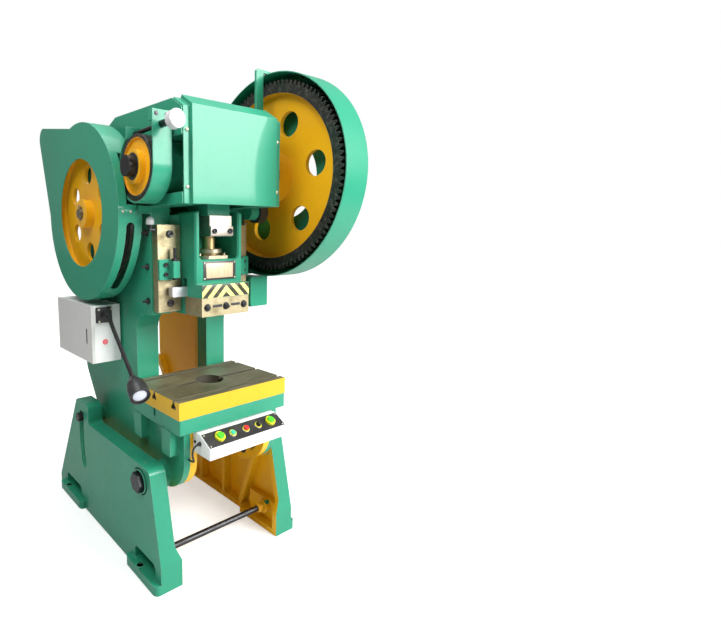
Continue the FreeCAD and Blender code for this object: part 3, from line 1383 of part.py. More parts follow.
def pinion_shaft():
    """The second shaft with the pinion cut in one piece on its right end."""
    turn = math.radians(SECOND_ANGLE + 180) + math.pi / PINION_TEETH
    x0 = GEAR_LEFT_X
    pinion = gear_face(PINION_TEETH, turn, SECOND_Y, SECOND_Z, x0).extrude(Vector(GEAR_WIDTH, 0, 0))
    shoulder = FLYWHEEL_LEFT_X + FLYWHEEL_WIDTH + SHOULDER_GAP
    end = FLYWHEEL_HUB_X - SECOND_END
    return fuse([
        pinion,
        round_x(SECOND_R, shoulder, x0 + GEAR_WIDTH + SECOND_PROUD, SECOND_Y, SECOND_Z),
        round_x(WHEEL_SEAT_R, FLYWHEEL_HUB_X, shoulder + 1, SECOND_Y, SECOND_Z),
        round_x(SECOND_END_R, end, FLYWHEEL_HUB_X + 1, SECOND_Y, SECOND_Z),
    ])


def shaft_bearings():
    """The two bearing bushes of the second shaft."""
    start = BODY_HALF - CHEEK_THICK - BEARING_BOSS_IN
    end = BODY_HALF + BEARING_BOSS_OUT
    ring = round_x(SECOND_R + BUSH_WALL, start, end, SECOND_Y, SECOND_Z)
    ring = ring.cut(round_x(SECOND_R + RUN_GAP, start - 1, end + 1, SECOND_Y, SECOND_Z))
    return both_sides(ring)


# ------------------------------------------------------------ flywheel, motor
def groove(radius, x, y, z):
    """The ring that cuts one V-groove into a rim of a given radius."""
    half = BELT_WIDTH / 2 + GROOVE_WIDER
    deep = BELT_THICK + GROOVE_DEEPER
    profile = [
        Vector(x - half - 1, radius + 2, 0),
        Vector(x + half + 1, radius + 2, 0),
        Vector(x + half - GROOVE_DRAFT, radius - deep, 0),
        Vector(x - half + GROOVE_DRAFT, radius - deep, 0),
    ]
    ring = Part.Face(Part.makePolygon(profile + [profile[0]]))
    ring = ring.revolve(Vector(0, 0, 0), X_AXIS, 360)
    ring.translate(Vector(0, y, z))
    return ring


def belt_centres():
    """X of each belt."""
    middle = FLYWHEEL_LEFT_X + FLYWHEEL_WIDTH / 2
    return [middle + (index - (BELTS - 1) / 2) * BELT_PITCH for index in range(BELTS)]


def flywheel():
    """The flywheel with its belt grooves and a web with round openings."""
    x0 = FLYWHEEL_LEFT_X
    x1 = x0 + FLYWHEEL_WIDTH
    web_x = (x0 + x1 - FLYWHEEL_WEB) / 2
    solid = round_x(FLYWHEEL_R, x0, x1, SECOND_Y, SECOND_Z)
    inner = FLYWHEEL_R - FLYWHEEL_RIM
    cuts = [
        round_x(inner, x0 - 1, web_x, SECOND_Y, SECOND_Z),
        round_x(inner, web_x + FLYWHEEL_WEB, x1 + 1, SECOND_Y, SECOND_Z),
    ]
    solid = solid.cut(cuts)
    solid = solid.fuse(round_x(FLYWHEEL_HUB_R, FLYWHEEL_HUB_X, x1, SECOND_Y, SECOND_Z))
    cuts = [groove(FLYWHEEL_R, x, SECOND_Y, SECOND_Z) for x in belt_centres()]
    cuts.append(round_x(WHEEL_SEAT_R + RUN_GAP, FLYWHEEL_HUB_X - 1, x1 + 1, SECOND_Y, SECOND_Z))
    for index in range(FLYWHEEL_HOLES):
        angle = math.radians(FLYWHEEL_HOLE_ANGLE + 360 * index / FLYWHEEL_HOLES)
        y = SECOND_Y + FLYWHEEL_HOLE_CIRCLE * math.cos(angle)
        z = SECOND_Z + FLYWHEEL_HOLE_CIRCLE * math.sin(angle)
        cuts.append(round_x(FLYWHEEL_HOLE_R, web_x - 1, web_x + FLYWHEEL_WEB + 1, y, z))
    return solid.cut(cuts)


def motor_pulley():
    """The small grooved pulley on the motor's shaft."""
    x0 = FLYWHEEL_LEFT_X - PULLEY_PROUD
    x1 = FLYWHEEL_LEFT_X + FLYWHEEL_WIDTH
    solid = round_x(PULLEY_R, x0, x1, MOTOR_Y, MOTOR_Z)
    cuts = [groove(PULLEY_R, x, MOTOR_Y, MOTOR_Z) for x in belt_centres()]
    cuts.append(round_x(MOTOR_SHAFT_R + RUN_GAP, x0 - 1, x1 + 1, MOTOR_Y, MOTOR_Z))
    return solid.cut(cuts)


def tangent_loop(big, small, x0, x1):
    """The area inside a belt round the flywheel and the pulley, as a solid."""
    across = Vector(0, MOTOR_Y - SECOND_Y, MOTOR_Z - SECOND_Z)
    angle = math.atan2(across.z, across.y)
    lean = math.acos((big - small) / across.Length)

    def on(radius, y, z, turn):
        return Vector(x0, y + radius * math.cos(turn), z + radius * math.sin(turn))

    upper = angle + lean
    lower = angle - lean
    edges = [
        Part.Arc(
            on(big, SECOND_Y, SECOND_Z, upper),
            on(big, SECOND_Y, SECOND_Z, angle + math.pi),
            on(big, SECOND_Y, SECOND_Z, lower),
        ).toShape(),
        Part.makeLine(on(big, SECOND_Y, SECOND_Z, lower), on(small, MOTOR_Y, MOTOR_Z, lower)),
        Part.Arc(
            on(small, MOTOR_Y, MOTOR_Z, lower),
            on(small, MOTOR_Y, MOTOR_Z, angle),
            on(small, MOTOR_Y, MOTOR_Z, upper),
        ).toShape(),
        Part.makeLine(on(small, MOTOR_Y, MOTOR_Z, upper), on(big, SECOND_Y, SECOND_Z, upper)),
    ]
    return Part.Face(Part.Wire(edges)).extrude(Vector(x1 - x0, 0, 0))


def v_belts():
    """The belts from the motor's pulley to the flywheel."""
    belts = []
    half = BELT_WIDTH / 2 - BELT_NARROW
    big = FLYWHEEL_R - BELT_SUNK
    small = PULLEY_R - BELT_SUNK
    for x in belt_centres():
        loop = tangent_loop(big, small, x - half, x + half)
        hole = tangent_loop(big - BELT_THICK, small - BELT_THICK, x - half - 1, x + half + 1)
        belts.append(loop.cut(hole))
    return belts


def slope_point(along, above):
    """A point of the rear slope, measured along it and square to it."""
    down = Vector(BODY_REAR_Y - HEAD_REAR_Y, SLOPE_LOW_Z - HEAD_REAR_Z, 0).normalize()
    return (
        HEAD_REAR_Y + down.x * along - down.y * above,
        HEAD_REAR_Z + down.y * along + down.x * above,
        0,
    )


def slope_block(along0, along1, above0, above1, x0, x1):
    """A block that lies square on the rear slope."""
    corners = [
        slope_point(along0, above0),
        slope_point(along1, above0),
        slope_point(along1, above1),
        slope_point(along0, above1),
    ]
    return plate_x(corners, x0, x1)


def motor_bracket():
    """The tilted seat of the motor on the body's rear slope."""
    along0 = MOTOR_ALONG + MOTOR_BASE[0]
    along1 = MOTOR_ALONG + MOTOR_BASE[1]
    plate = MOTOR_BASE_THICK + MOTOR_CHEEK_HIGH
    pieces = [
        slope_block(along0, along1, SEAT_GAP, MOTOR_BASE_THICK, -BODY_HALF, BODY_HALF),
        slope_block(
            MOTOR_ALONG - MOTOR_PLATE_HALF,
            MOTOR_ALONG + MOTOR_PLATE_HALF,
            plate,
            MOTOR_SEAT,
            MOTOR_LEFT_X + MOTOR_PLATE_IN,
            MOTOR_LEFT_X + MOTOR_LENGTH - MOTOR_PLATE_IN,
        ),
    ]
    for start in MOTOR_CHEEKS:
        x0 = MOTOR_LEFT_X + start
        pieces.append(slope_block(
            along0 + MOTOR_CHEEK_INSET,
            along1 - MOTOR_CHEEK_INSET,
            MOTOR_BASE_THICK - 1,
            plate + 1,
            x0,
            x0 + MOTOR_CHEEK,
        ))
    return fuse(pieces)


def drive_motor():
    """The finned electric motor, with feet and a terminal box."""
    x0 = MOTOR_LEFT_X
    x1 = MOTOR_LEFT_X + MOTOR_LENGTH
    flange = x0 + FLANGE_LONG
    cowl = x1 - COWL_LONG
    barrel = round_x(MOTOR_R - BARREL_INSET, flange, cowl, MOTOR_Y, MOTOR_Z)
    ends = [
        round_x(MOTOR_R - FLANGE_INSET, x0 + SPIGOT_LONG, flange + 2, MOTOR_Y, MOTOR_Z),
        round_x(MOTOR_R - SPIGOT_INSET, x0, x0 + SPIGOT_LONG + 2, MOTOR_Y, MOTOR_Z),
        round_x(MOTOR_R, cowl - 2, x1, MOTOR_Y, MOTOR_Z),
        round_x(MOTOR_SHAFT_R, FLYWHEEL_LEFT_X, x0 + 1, MOTOR_Y, MOTOR_Z),
    ]
    fins = []
    fin_end = MOTOR_Y + MOTOR_R - 1
    half = FIN_THICK / 2
    for index in range(MOTOR_FINS):
        fin = box(flange + 1, cowl - 1, fin_end - FIN_HIGH, fin_end, MOTOR_Z - half, MOTOR_Z + half)
        fin.rotate(Vector(0, MOTOR_Y, MOTOR_Z), X_AXIS, 360 * (index + 0.5) / MOTOR_FINS)
        fins.append(fin)
    feet = []
    foot_top = MOTOR_SEAT + MOTOR_FOOT_THICK
    for place in MOTOR_FEET:
        start = x0 + place
        feet.append(slope_block(
            MOTOR_ALONG - MOTOR_FOOT_HALF,
            MOTOR_ALONG + MOTOR_FOOT_HALF,
            MOTOR_SEAT + SEAT_GAP,
            foot_top,
            start,
            start + MOTOR_FOOT_WIDE,
        ))
        for middle in (MOTOR_ALONG - FOOT_WEB_ALONG, MOTOR_ALONG + FOOT_WEB_ALONG):
            feet.append(slope_block(
                middle - FOOT_WEB / 2,
                middle + FOOT_WEB / 2,
                foot_top - 1,
                foot_top + FOOT_WEB_HIGH,
                start + FOOT_WEB_INSET,
                start + MOTOR_FOOT_WIDE - FOOT_WEB_INSET,
            ))
    terminal = box(
        x0 + TERMINAL_START,
        x0 + TERMINAL_START + TERMINAL_SIDE,
        MOTOR_Y - TERMINAL_SIDE / 2,
        MOTOR_Y + TERMINAL_SIDE / 2,
        MOTOR_Z + MOTOR_R - TERMINAL_DEEP,
        MOTOR_Z + MOTOR_R + TERMINAL_HIGH,
    )
    return fuse([barrel] + ends + fins + feet + [terminal])


# --------------------------------------------------------------------- brake
def brake_ring(inner, outer, x0, x1, end):
    """A ring round the drum, open from its rear end angle up to the front."""
    ring = round_x(outer, x0, x1, RAM_Y, CRANK_Z).cut(
        round_x(inner, x0 - 1, x1 + 1, RAM_Y, CRANK_Z)
    )
    reach = 3 * outer
    opening = plate_x(
        [
            (RAM_Y, CRANK_Z, 0),
            (RAM_Y + reach * math.cos(math.radians(end)), CRANK_Z + reach * math.sin(math.radians(end)), 0),
            (RAM_Y - reach, CRANK_Z + reach, 0),
            (RAM_Y - reach, CRANK_Z, 0),
        ],
        x0 - 1,
        x1 + 1,
    )
    return ring.cut(opening)


def brake_drum():
    """The drum on the crankshaft's left end."""
    x1 = DRUM_LEFT_X + DRUM_WIDTH
    solid = round_x(DRUM_R, DRUM_LEFT_X, x1, RAM_Y, CRANK_Z)
    web_x = DRUM_LEFT_X + DRUM_DISH
    hub_start = DRUM_LEFT_X - DRUM_HUB_OUT
    hub_end = x1 + DRUM_HUB_IN
    recess = round_x(DRUM_R - DRUM_RIM, DRUM_LEFT_X - 1, web_x, RAM_Y, CRANK_Z)
    rear = round_x(DRUM_R - DRUM_RIM, web_x + DRUM_WEB, x1 + 1, RAM_Y, CRANK_Z)
    solid = solid.cut([recess, rear])
    solid = solid.fuse(round_x(DRUM_HUB_R, hub_start, hub_end, RAM_Y, CRANK_Z))
    return solid.cut(round_x(SHAFT_LEFT_R + RUN_GAP, hub_start - 1, hub_end + 1, RAM_Y, CRANK_Z))


def brake_lining():
    """The friction lining inside the band."""
    x0 = DRUM_LEFT_X + BAND_OVER
    x1 = DRUM_LEFT_X + DRUM_WIDTH - BAND_OVER
    return brake_ring(DRUM_R + LOOSE_GAP, DRUM_R + LINING, x0, x1, EAR_ANGLE - BAND_OVER)


def brake_band():
    """The steel band: an upright front strap, a loop and a rear ear."""
    outer = BAND_R + BAND
    x0 = DRUM_LEFT_X - BAND_OVER
    x1 = DRUM_LEFT_X + DRUM_WIDTH
    ring = brake_ring(BAND_R, outer, x0, x1, EAR_ANGLE)
    strap = box(x0, x1, RAM_Y - outer, RAM_Y - BAND_R, CRANK_Z - 1, BAND_END_Z)
    ear_z = CRANK_Z + BAND_R * math.sin(math.radians(EAR_ANGLE)) + 1
    ear = box(x0, x1, EAR_Y, EAR_Y + BAND, ear_z, ear_z + EAR_HIGH)
    hole = round_y(ROD_END_R + LOOSE_GAP, RAM_Y - 2 * outer, RAM_Y + 2 * outer, BRAKE_X, BRAKE_ROD_Z)
    bolts = [
        round_y(BAND_BOLT_R, RAM_Y - outer - 1, RAM_Y - BAND_R + 1, BRAKE_X + side, BAND_BOLT_Z)
        for side in (-BAND_BOLT_X, BAND_BOLT_X)
    ]
    return fuse([ring, strap, ear]).cut([hole] + bolts)


def brake_bracket():
    """The bracket on the cheek that anchors the band's front end."""
    front = RAM_Y - BAND_R + SEAT_GAP
    side = -BODY_HALF - SEAT_GAP
    bottom = BAND_END_Z - BRACKET_ARM_HIGH
    arm = box(DRUM_LEFT_X - BAND_OVER, side, front, front + BRACKET_ARM, bottom, BAND_END_Z)
    base = box(side - BRACKET_BASE, side, front, front + BRACKET_REACH, bottom, BAND_END_Z)
    holes = [
        round_y(BAND_BOLT_R, front - 1, front + BRACKET_ARM + 1, BRAKE_X + side_x, BAND_BOLT_Z)
        for side_x in (-BAND_BOLT_X, BAND_BOLT_X)
    ]
    return fuse([arm, base]).cut(holes)


def brake_tension_rod():
    """The rod that draws the band tight, with its nut behind the ear."""
    behind = EAR_Y + BAND + SEAT_GAP
    front = RAM_Y - BAND_R - BAND - SEAT_GAP
    return fuse([
        round_y(ROD_END_R, KNOB_Y, behind + 1.5 * ROD_NUT, BRAKE_X, BRAKE_ROD_Z),
        hexagon_y(2 * ROD_NUT, behind, behind + ROD_NUT, BRAKE_X, BRAKE_ROD_Z),
        round_y(ROD_NUT + 1, front - 3 * ROD_NUT, front, BRAKE_X, BRAKE_ROD_Z),
    ])


def brake_knob():
    """The white knob that sets the brake."""
    face = KNOB_Y - KNOB_THICK
    half = KNOB_SLOT / 2
    solid = round_y(KNOB_R, face, KNOB_Y - SEAT_GAP, BRAKE_X, BRAKE_ROD_Z)
    solid = solid.makeChamfer(KNOB_CHAMFER, [edge for edge in solid.Edges if edge.Closed])
    slot = box(
        BRAKE_X - KNOB_R - 1,
        BRAKE_X + KNOB_R + 1,
        face - 1,
        face + half,
        BRAKE_ROD_Z - half,
        BRAKE_ROD_Z + half,
    )
    return solid.cut(slot)


# -------------------------------------------------------------------- guards
def guard_top():
    """Front and rear end of the flat top of the flywheel guard."""
    front = Vector(0, SECOND_Y, SECOND_Z) + at_angle(LEFT_GUARD_R, GUARD_TOP_ANGLE)
    rear = Vector(0, MOTOR_Y, MOTOR_Z) + Vector(0, GUARD_REAR_Y, GUARD_REAR_Z)
    return front, rear


def at_angle(radius, angle):
    """A vector square to X, its angle in degrees above the rearward level."""
    turn = math.radians(angle)
    return Vector(0, radius * math.cos(turn), radius * math.sin(turn))


def flywheel_block(inset, x0, x1):
    """The volume of the flywheel guard, drawn in by an inset."""
    front, rear = guard_top()
    slope = [
        (front.y, front.z, 0),
        (rear.y, rear.z, GUARD_REAR_ROUND),
        (SECOND_Y + LEFT_GUARD_R - 1, SECOND_Z, 0),
        (SECOND_Y, SECOND_Z, 0),
    ]
    face = Part.Face(outline(slope, in_yz(x0)))
    if inset:
        face = Part.Face(face.makeOffset2D(-inset).Wires[0])
    drum = round_x(LEFT_GUARD_R - inset, x0, x1, SECOND_Y, SECOND_Z)
    return drum.fuse(face.extrude(Vector(x1 - x0, 0, 0))).removeSplitter()


def flywheel_guard():
    """The left guard: a dished sheet with a round opening, open at the back."""
    x0 = LEFT_GUARD_X
    x1 = LEFT_GUARD_X + LEFT_GUARD_WIDTH
    solid = flywheel_block(0, x0, x1).cut(flywheel_block(SHEET, x0 + SHEET, x1 + 1))
    centre = Vector(0, SECOND_Y, SECOND_Z)
    sector = [centre] + [centre + at_angle(2 * LEFT_GUARD_R, angle) for angle in RIM_SLOT_ANGLES]
    slot_x = x0 + RIM_SLOT_INSET
    ends = [
        Part.makeCylinder(
            RIM_SLOT_WIDTH / 2,
            10 * SHEET,
            centre + Vector(slot_x + RIM_SLOT_WIDTH / 2, 0, 0) + at_angle(LEFT_GUARD_R - 5 * SHEET, angle),
            at_angle(1, angle),
        )
        for angle in (RIM_SLOT_ANGLES[0], RIM_SLOT_ANGLES[-1])
    ]
    return solid.cut([
        round_x(LEFT_OPENING_R, x0 - 1, x0 + SHEET + 1, SECOND_Y, SECOND_Z),
        round_x(BRAKE_NOTCH_R, x0 + RIM_SLOT_INSET, x1 + 1, RAM_Y, CRANK_Z),
        plate_x([(point.y, point.z, 0) for point in sector], slot_x, slot_x + RIM_SLOT_WIDTH),
    ] + ends)


def flywheel_guard_stays():
    """The three stays between the cheek and the left guard."""
    x0 = LEFT_GUARD_X + LEFT_GUARD_WIDTH - STAY_LAP
    x1 = -BODY_HALF - SEAT_GAP
    half = STAY_WIDE / 2
    front = SECOND_Y - LEFT_GUARD_R - LOOSE_GAP
    bottom = SECOND_Z - LEFT_GUARD_R - LOOSE_GAP
    along = (guard_top()[1] - guard_top()[0]).normalize()
    above = Vector(0, -along.z, along.y)
    start = guard_top()[0] + along * TOP_STAY_ALONG + above * LOOSE_GAP
    corners = [start, start + along * STAY_WIDE]
    corners += [corner + above * STAY_THICK for corner in reversed(corners)]
    return [
        box(x0, x1, front - STAY_THICK, front, SECOND_Z - half, SECOND_Z + half),
        box(x0, x1, SECOND_Y - half, SECOND_Y + half, bottom - STAY_THICK, bottom),
        plate_x([(corner.y, corner.z, 0) for corner in corners], x0, x1),
    ]


def gear_block(inset, x0, x1):
    """The volume of the gear guard, drawn in by an inset."""
    small = PINION_GUARD_R - inset
    along = Vector(0, SECOND_Y - RAM_Y, SECOND_Z - CRANK_Z).normalize()
    side = Vector(0, -along.z, along.y)
    pinion = Vector(0, SECOND_Y, SECOND_Z)
    crank = Vector(0, RAM_Y, CRANK_Z)
    corners = [crank + side * small, pinion + side * small, pinion - side * small, crank - side * small]
    neck = plate_x([(corner.y, corner.z, 0) for corner in corners], x0, x1)
    return fuse([
        round_x(RIGHT_GUARD_R - inset, x0, x1, RAM_Y, CRANK_Z),
        neck,
        round_x(small, x0, x1, SECOND_Y, SECOND_Z),
    ])


def gear_guard():
    """The right guard: a deep dish over gear and pinion, open at the back."""
    x0 = RIGHT_GUARD_X
    x1 = RIGHT_GUARD_X + RIGHT_GUARD_WIDTH
    outer = gear_block(0, x0, x1)
    rim = [edge for edge in outer.Edges if abs(edge.CenterOfMass.x - x1) < 0.01]
    outer = outer.makeFillet(RIGHT_GUARD_ROUND, rim)
    inner = gear_block(SHEET, x0 - 1, x1 - SHEET)
    rim = [edge for edge in inner.Edges if abs(edge.CenterOfMass.x - x1 + SHEET) < 0.01]
    inner = inner.makeFillet(RIGHT_GUARD_ROUND - SHEET, rim)
    return outer.cut([inner, round_x(RIGHT_OPENING_R, x1 - SHEET - 1, x1 + 1, RAM_Y, CRANK_Z)])


def guard_hanger():
    """The flat bar on the cheek that carries the gear guard's top."""
    top = CRANK_Z + RIGHT_GUARD_R + LOOSE_GAP
    side = BODY_HALF + SEAT_GAP
    outer = RIGHT_GUARD_X - HANGER_GAP
    end = RIGHT_GUARD_X + STAY_LAP
    corners = [
        (side, HANGER_LOW_Z, 0),
        (outer, HANGER_LOW_Z, HANGER_ROUND),
        (outer, top, 0),
        (end, top, 0),
        (end, top + STAY_THICK, 0),
        (outer - HANGER_WIDE, top + STAY_THICK, HANGER_BACK_ROUND),
        (outer - HANGER_WIDE, HANGER_LOW_Z + HANGER_FOOT, HANGER_BACK_ROUND),
        (side, HANGER_LOW_Z + HANGER_FOOT, 0),
    ]
    return plate_y(corners, RAM_Y - STAY_THICK / 2, RAM_Y + STAY_THICK / 2)


def gear_guard_stays():
    """The hanger and the two lower stays of the gear guard."""
    x0 = BODY_HALF + SEAT_GAP
    x1 = RIGHT_GUARD_X + STAY_LAP
    half = STAY_WIDE / 2
    bottom = SECOND_Z - PINION_GUARD_R - LOOSE_GAP
    low = TRIP_BOX_TOP_Z + STAY_THICK / 2
    front = box(x0, x1, LOW_STAY_Y - half, LOW_STAY_Y + half, low, low + 2 * STAY_THICK)
    return [
        guard_hanger(),
        box(x0, x1, SECOND_Y - half, SECOND_Y + half, bottom - STAY_THICK, bottom),
        front.cut(round_x(RIGHT_GUARD_R + LOOSE_GAP, x0 - 1, x1 + 1, RAM_Y, CRANK_Z)),
    ]


def cover_line(distance, bottom):
    """Foot, fold and upper end of a line that follows the head's front."""
    slope = Vector(ROOF_Y - HEAD_FRONT_Y, ROOF_Z - HEAD_FRONT_TOP_Z, 0).normalize()
    turn = math.acos(slope.y)
    return [
        (HEAD_FRONT_Y - distance, bottom, 0),
        (HEAD_FRONT_Y - distance, HEAD_FRONT_TOP_Z + distance * math.tan(turn / 2), 0),
        (ROOF_Y - slope.y * distance, ROOF_Z + slope.x * distance, 0),
    ]


def cover_layer(near, far, half, bottom):
    """A layer of the cover between two distances from the head."""
    corners = cover_line(near, bottom) + cover_line(far, bottom)[::-1]
    return plate_x(corners, -half, half)


def head_cover():
    """The folded cover over the head's front, raised in its middle."""
    inner = COVER_HALF - COVER_FLANGE
    flange = cover_layer(SEAT_GAP, SEAT_GAP + SHEET, COVER_HALF, COVER_BOTTOM_Z)
    raised = cover_layer(SEAT_GAP, COVER_PROUD, inner, COVER_BOTTOM_Z)
    hollow = cover_layer(-1, COVER_PROUD - SHEET, inner - SHEET, COVER_BOTTOM_Z - 1)
    return fuse([flange, raised]).cut(hollow)


# -------------------------------------------------------------- control gear
def panel_outline():
    """The side view of the control panel's box."""
    return [
        (PANEL_REAR_Y, PANEL_BOTTOM_Z, 0),
        (PANEL_REAR_Y, PANEL_TOP_Z, 0),
        (PANEL_TOP_Y, PANEL_TOP_Z, 0),
        (PANEL_FRONT_Y, PANEL_EDGE_Z, 0),
        (PANEL_FRONT_Y, PANEL_BOTTOM_Z, 0),
    ]


def panel_placed(shape, x):
    """Moves a shape made about the origin, facing up, on to the panel."""
    normal = Vector(0, PANEL_EDGE_Z - PANEL_TOP_Z, PANEL_TOP_Y - PANEL_FRONT_Y).normalize()
    lean = math.degrees(math.atan2(-normal.y, normal.z))
    shape.rotate(Vector(0, 0, 0), X_AXIS, lean)
    middle = Vector(x, (PANEL_TOP_Y + PANEL_FRONT_Y) / 2, (PANEL_TOP_Z + PANEL_EDGE_Z) / 2)
    shape.translate(middle)
    return shape


def panel_box():
    """The sheet box of the control panel, open at its sloping face."""
    face = Part.Face(outline(panel_outline(), in_yz(-PANEL_HALF)))
    solid = face.extrude(Vector(2 * PANEL_HALF, 0, 0))
    inner = Part.Face(face.makeOffset2D(-PANEL_SHEET).Wires[0])
    inner = inner.extrude(Vector(2 * (PANEL_HALF - PANEL_SHEET), 0, 0))
    inner.translate(Vector(PANEL_SHEET, 0, 0))
    half = PANEL_HALF - PANEL_LIP
    reach = panel_width() / 2 - PANEL_LIP
    opening = box(-half, half, -reach, reach, -PANEL_LIP, 1)
    gland = round_x(CABLE_R + RUN_GAP, -PANEL_HALF - 1, -half, *CABLE_ROUTE[0][1:])
    return solid.cut([inner, panel_placed(opening, 0), gland])


def panel_width():
    """Width of the panel's sloping face."""
    return Vector(0, PANEL_TOP_Y - PANEL_FRONT_Y, PANEL_TOP_Z - PANEL_EDGE_Z).Length


def panel_face():
    """The black plate that carries the buttons."""
    half = PANEL_HALF - PANEL_LIP / 2
    reach = (panel_width() - PANEL_LIP) / 2
    solid = box(-half, half, -reach, reach, SEAT_GAP, PANEL_FACE)
    for x, radius in BUTTONS:
        solid = solid.cut(round_z(radius + LOOSE_GAP, -1, PANEL_FACE + 1, x, 0))
    return panel_placed(solid, 0)


def button_collars():
    """The rings round the buttons."""
    collars = []
    for x, radius in BUTTONS:
        outer = PALM_COLLAR_R if radius == PALM_R else radius + COLLAR_WALL
        top = PANEL_FACE + (PALM_COLLAR_HIGH if radius == PALM_R else COLLAR_HIGH)
        ring = round_z(outer, PANEL_FACE + SEAT_GAP, top, 0, 0)
        ring = ring.cut(round_z(radius + LOOSE_GAP, 0, top + 1, 0, 0))
        collars.append(panel_placed(ring, x))
    return collars


def button(index, high):
    """One push button with a rounded top."""
    x, radius = BUTTONS[index]
    solid = round_z(radius, -BUTTON_DEEP, PANEL_FACE + high, 0, 0)
    top = [edge for edge in solid.Edges if edge.Closed and edge.CenterOfMass.z > 0]
    return panel_placed(solid.makeFillet(BUTTON_ROUND, top), x)


def selector_knob():
    """The selector switch's knob with its handle bar."""
    x, radius = BUTTONS[3]
    solid = round_z(radius, -BUTTON_DEEP, PANEL_FACE + COLLAR_HIGH, 0, 0)
    side = SELECTOR_BAR / 2
    bar = box(-side, side, 1 - radius, radius - 1, PANEL_FACE, PANEL_FACE + COLLAR_HIGH + radius)
    return panel_placed(fuse([solid, bar]), x)


def panel_cable():
    """The cable from the panel's left end down and back into the body."""
    return swept([Vector(*point) for point in CABLE_ROUTE], CABLE_R)


def swept(points, radius):
    """A round bar along straight runs joined by tangent arcs."""
    edges = []
    here = points[0]
    for index in range(1, len(points) - 1):
        corner = points[index]
        before = (points[index - 1] - corner)
        after = (points[index + 1] - corner)
        half = before.getAngle(after) / 2
        run = 0.45 * min(before.Length, after.Length)
        bend = run * math.tan(half)
        print("bend radius", round(bend, 1))
        before.normalize()
        after.normalize()
        first = corner + before * run
        last = corner + after * run
        middle = corner + (before + after).normalize() * (bend / math.sin(half) - bend)
        edges.append(Part.makeLine(here, first))
        edges.append(Part.Arc(first, middle, last).toShape())
        here = last
    edges.append(Part.makeLine(here, points[-1]))
    path = Part.Wire(edges)
    circle = Part.Wire(Part.makeCircle(radius, points[0], points[1] - points[0]))
    return path.makePipeShell([circle], True, False)


def cabinet_case():
    """The control cabinet's case, open on its outer side."""
    x0 = CABINET_OUTER + DOOR_THICK + LOOSE_GAP
    solid = box(x0, CABINET_INNER, CABINET_FRONT_Y, CABINET_REAR_Y, CABINET_BOTTOM_Z, CABINET_TOP_Z)
    sheet = CABINET_SHEET
    inner = box(
        x0 - 1,
        CABINET_INNER - sheet,
        CABINET_FRONT_Y + sheet,
        CABINET_REAR_Y - sheet,
        CABINET_BOTTOM_Z + sheet,
        CABINET_TOP_Z - sheet,
    )
    behind = CABINET_FRONT_Y + sheet + 1
    hole = round_y(INDICATOR_R + LOOSE_GAP, CABINET_FRONT_Y - 1, behind, INDICATOR_X, INDICATOR_Z)
    low = CABINET_BOTTOM_Z + RAIL_END
    high = CABINET_TOP_Z - RAIL_END
    rails = [
        box(CABINET_INNER - 1, -BODY_HALF - SEAT_GAP, y, y + RAIL_WIDE, low, high)
        for y in (CABINET_FRONT_Y + RAIL_INSET, CABINET_REAR_Y - RAIL_INSET - RAIL_WIDE)
    ]
    return fuse([solid.cut([inner, hole])] + rails)


def cabinet_door():
    """The cabinet's door, a folded sheet hinged at its rear edge."""
    x1 = CABINET_OUTER + DOOR_THICK
    solid = box(CABINET_OUTER, x1, CABINET_FRONT_Y, CABINET_REAR_Y, CABINET_BOTTOM_Z, CABINET_TOP_Z)
    inner = box(
        CABINET_OUTER + DOOR_SHEET,
        x1 + 1,
        CABINET_FRONT_Y + DOOR_SHEET,
        CABINET_REAR_Y - DOOR_SHEET,
        CABINET_BOTTOM_Z + DOOR_SHEET,
        CABINET_TOP_Z - DOOR_SHEET,
    )
    slit = box(CABINET_OUTER - 1, CABINET_OUTER + DOOR_SHEET + 1, *DOOR_SLIT, *DOOR_SLIT_Z)
    return solid.cut([inner, slit])


def indicator_light():
    """The round signal lamp on the cabinet's front."""
    face = CABINET_FRONT_Y - SEAT_GAP
    front = face - INDICATOR_HIGH
    lens = round_y(INDICATOR_R + INDICATOR_LIP, front, face, INDICATOR_X, INDICATOR_Z)
    rim = [edge for edge in lens.Edges if edge.Closed and edge.CenterOfMass.y < front + 1]
    lens = lens.makeFillet(INDICATOR_LIP, rim)
    stem = round_y(INDICATOR_R, face - 1, face + INDICATOR_STEM, INDICATOR_X, INDICATOR_Z)
    return fuse([lens, stem])


def lamp_base():
    """The square foot of the work lamp."""
    half, high = LAMP_FOOT_HALF
    front = CABINET_FRONT_Y - LAMP_FOOT
    plate = plate_y(
        [
            (LAMP_X - half, LAMP_Z - high, LAMP_FOOT_ROUND),
            (LAMP_X + half, LAMP_Z - high, LAMP_FOOT_ROUND),
            (LAMP_X + half, LAMP_Z + high, LAMP_FOOT_ROUND),
            (LAMP_X - half, LAMP_Z + high, LAMP_FOOT_ROUND),
        ],
        front,
        CABINET_FRONT_Y - SEAT_GAP,
    )
    neck = round_y(LAMP_NECK_R, CABINET_FRONT_Y - LAMP_NECK, front + 1, LAMP_X, LAMP_Z)
    return fuse([plate, neck])


def lamp_points():
    """The corners of the gooseneck's route, from its foot to the head."""
    return [
        Vector(LAMP_X, CABINET_FRONT_Y - LAMP_NECK - SEAT_GAP, LAMP_Z),
        Vector(LAMP_X, LAMP_ELBOW_Y, LAMP_Z),
        Vector(LAMP_HEAD_X, LAMP_HEAD_Y, LAMP_HEAD_Z),
    ]


def lamp_axis():
    """The direction in which the lamp shines."""
    points = lamp_points()
    return (points[2] - points[1]).normalize()


def lamp_arm():
    """The gooseneck of the work lamp."""
    return swept(lamp_points(), LAMP_ARM_R)


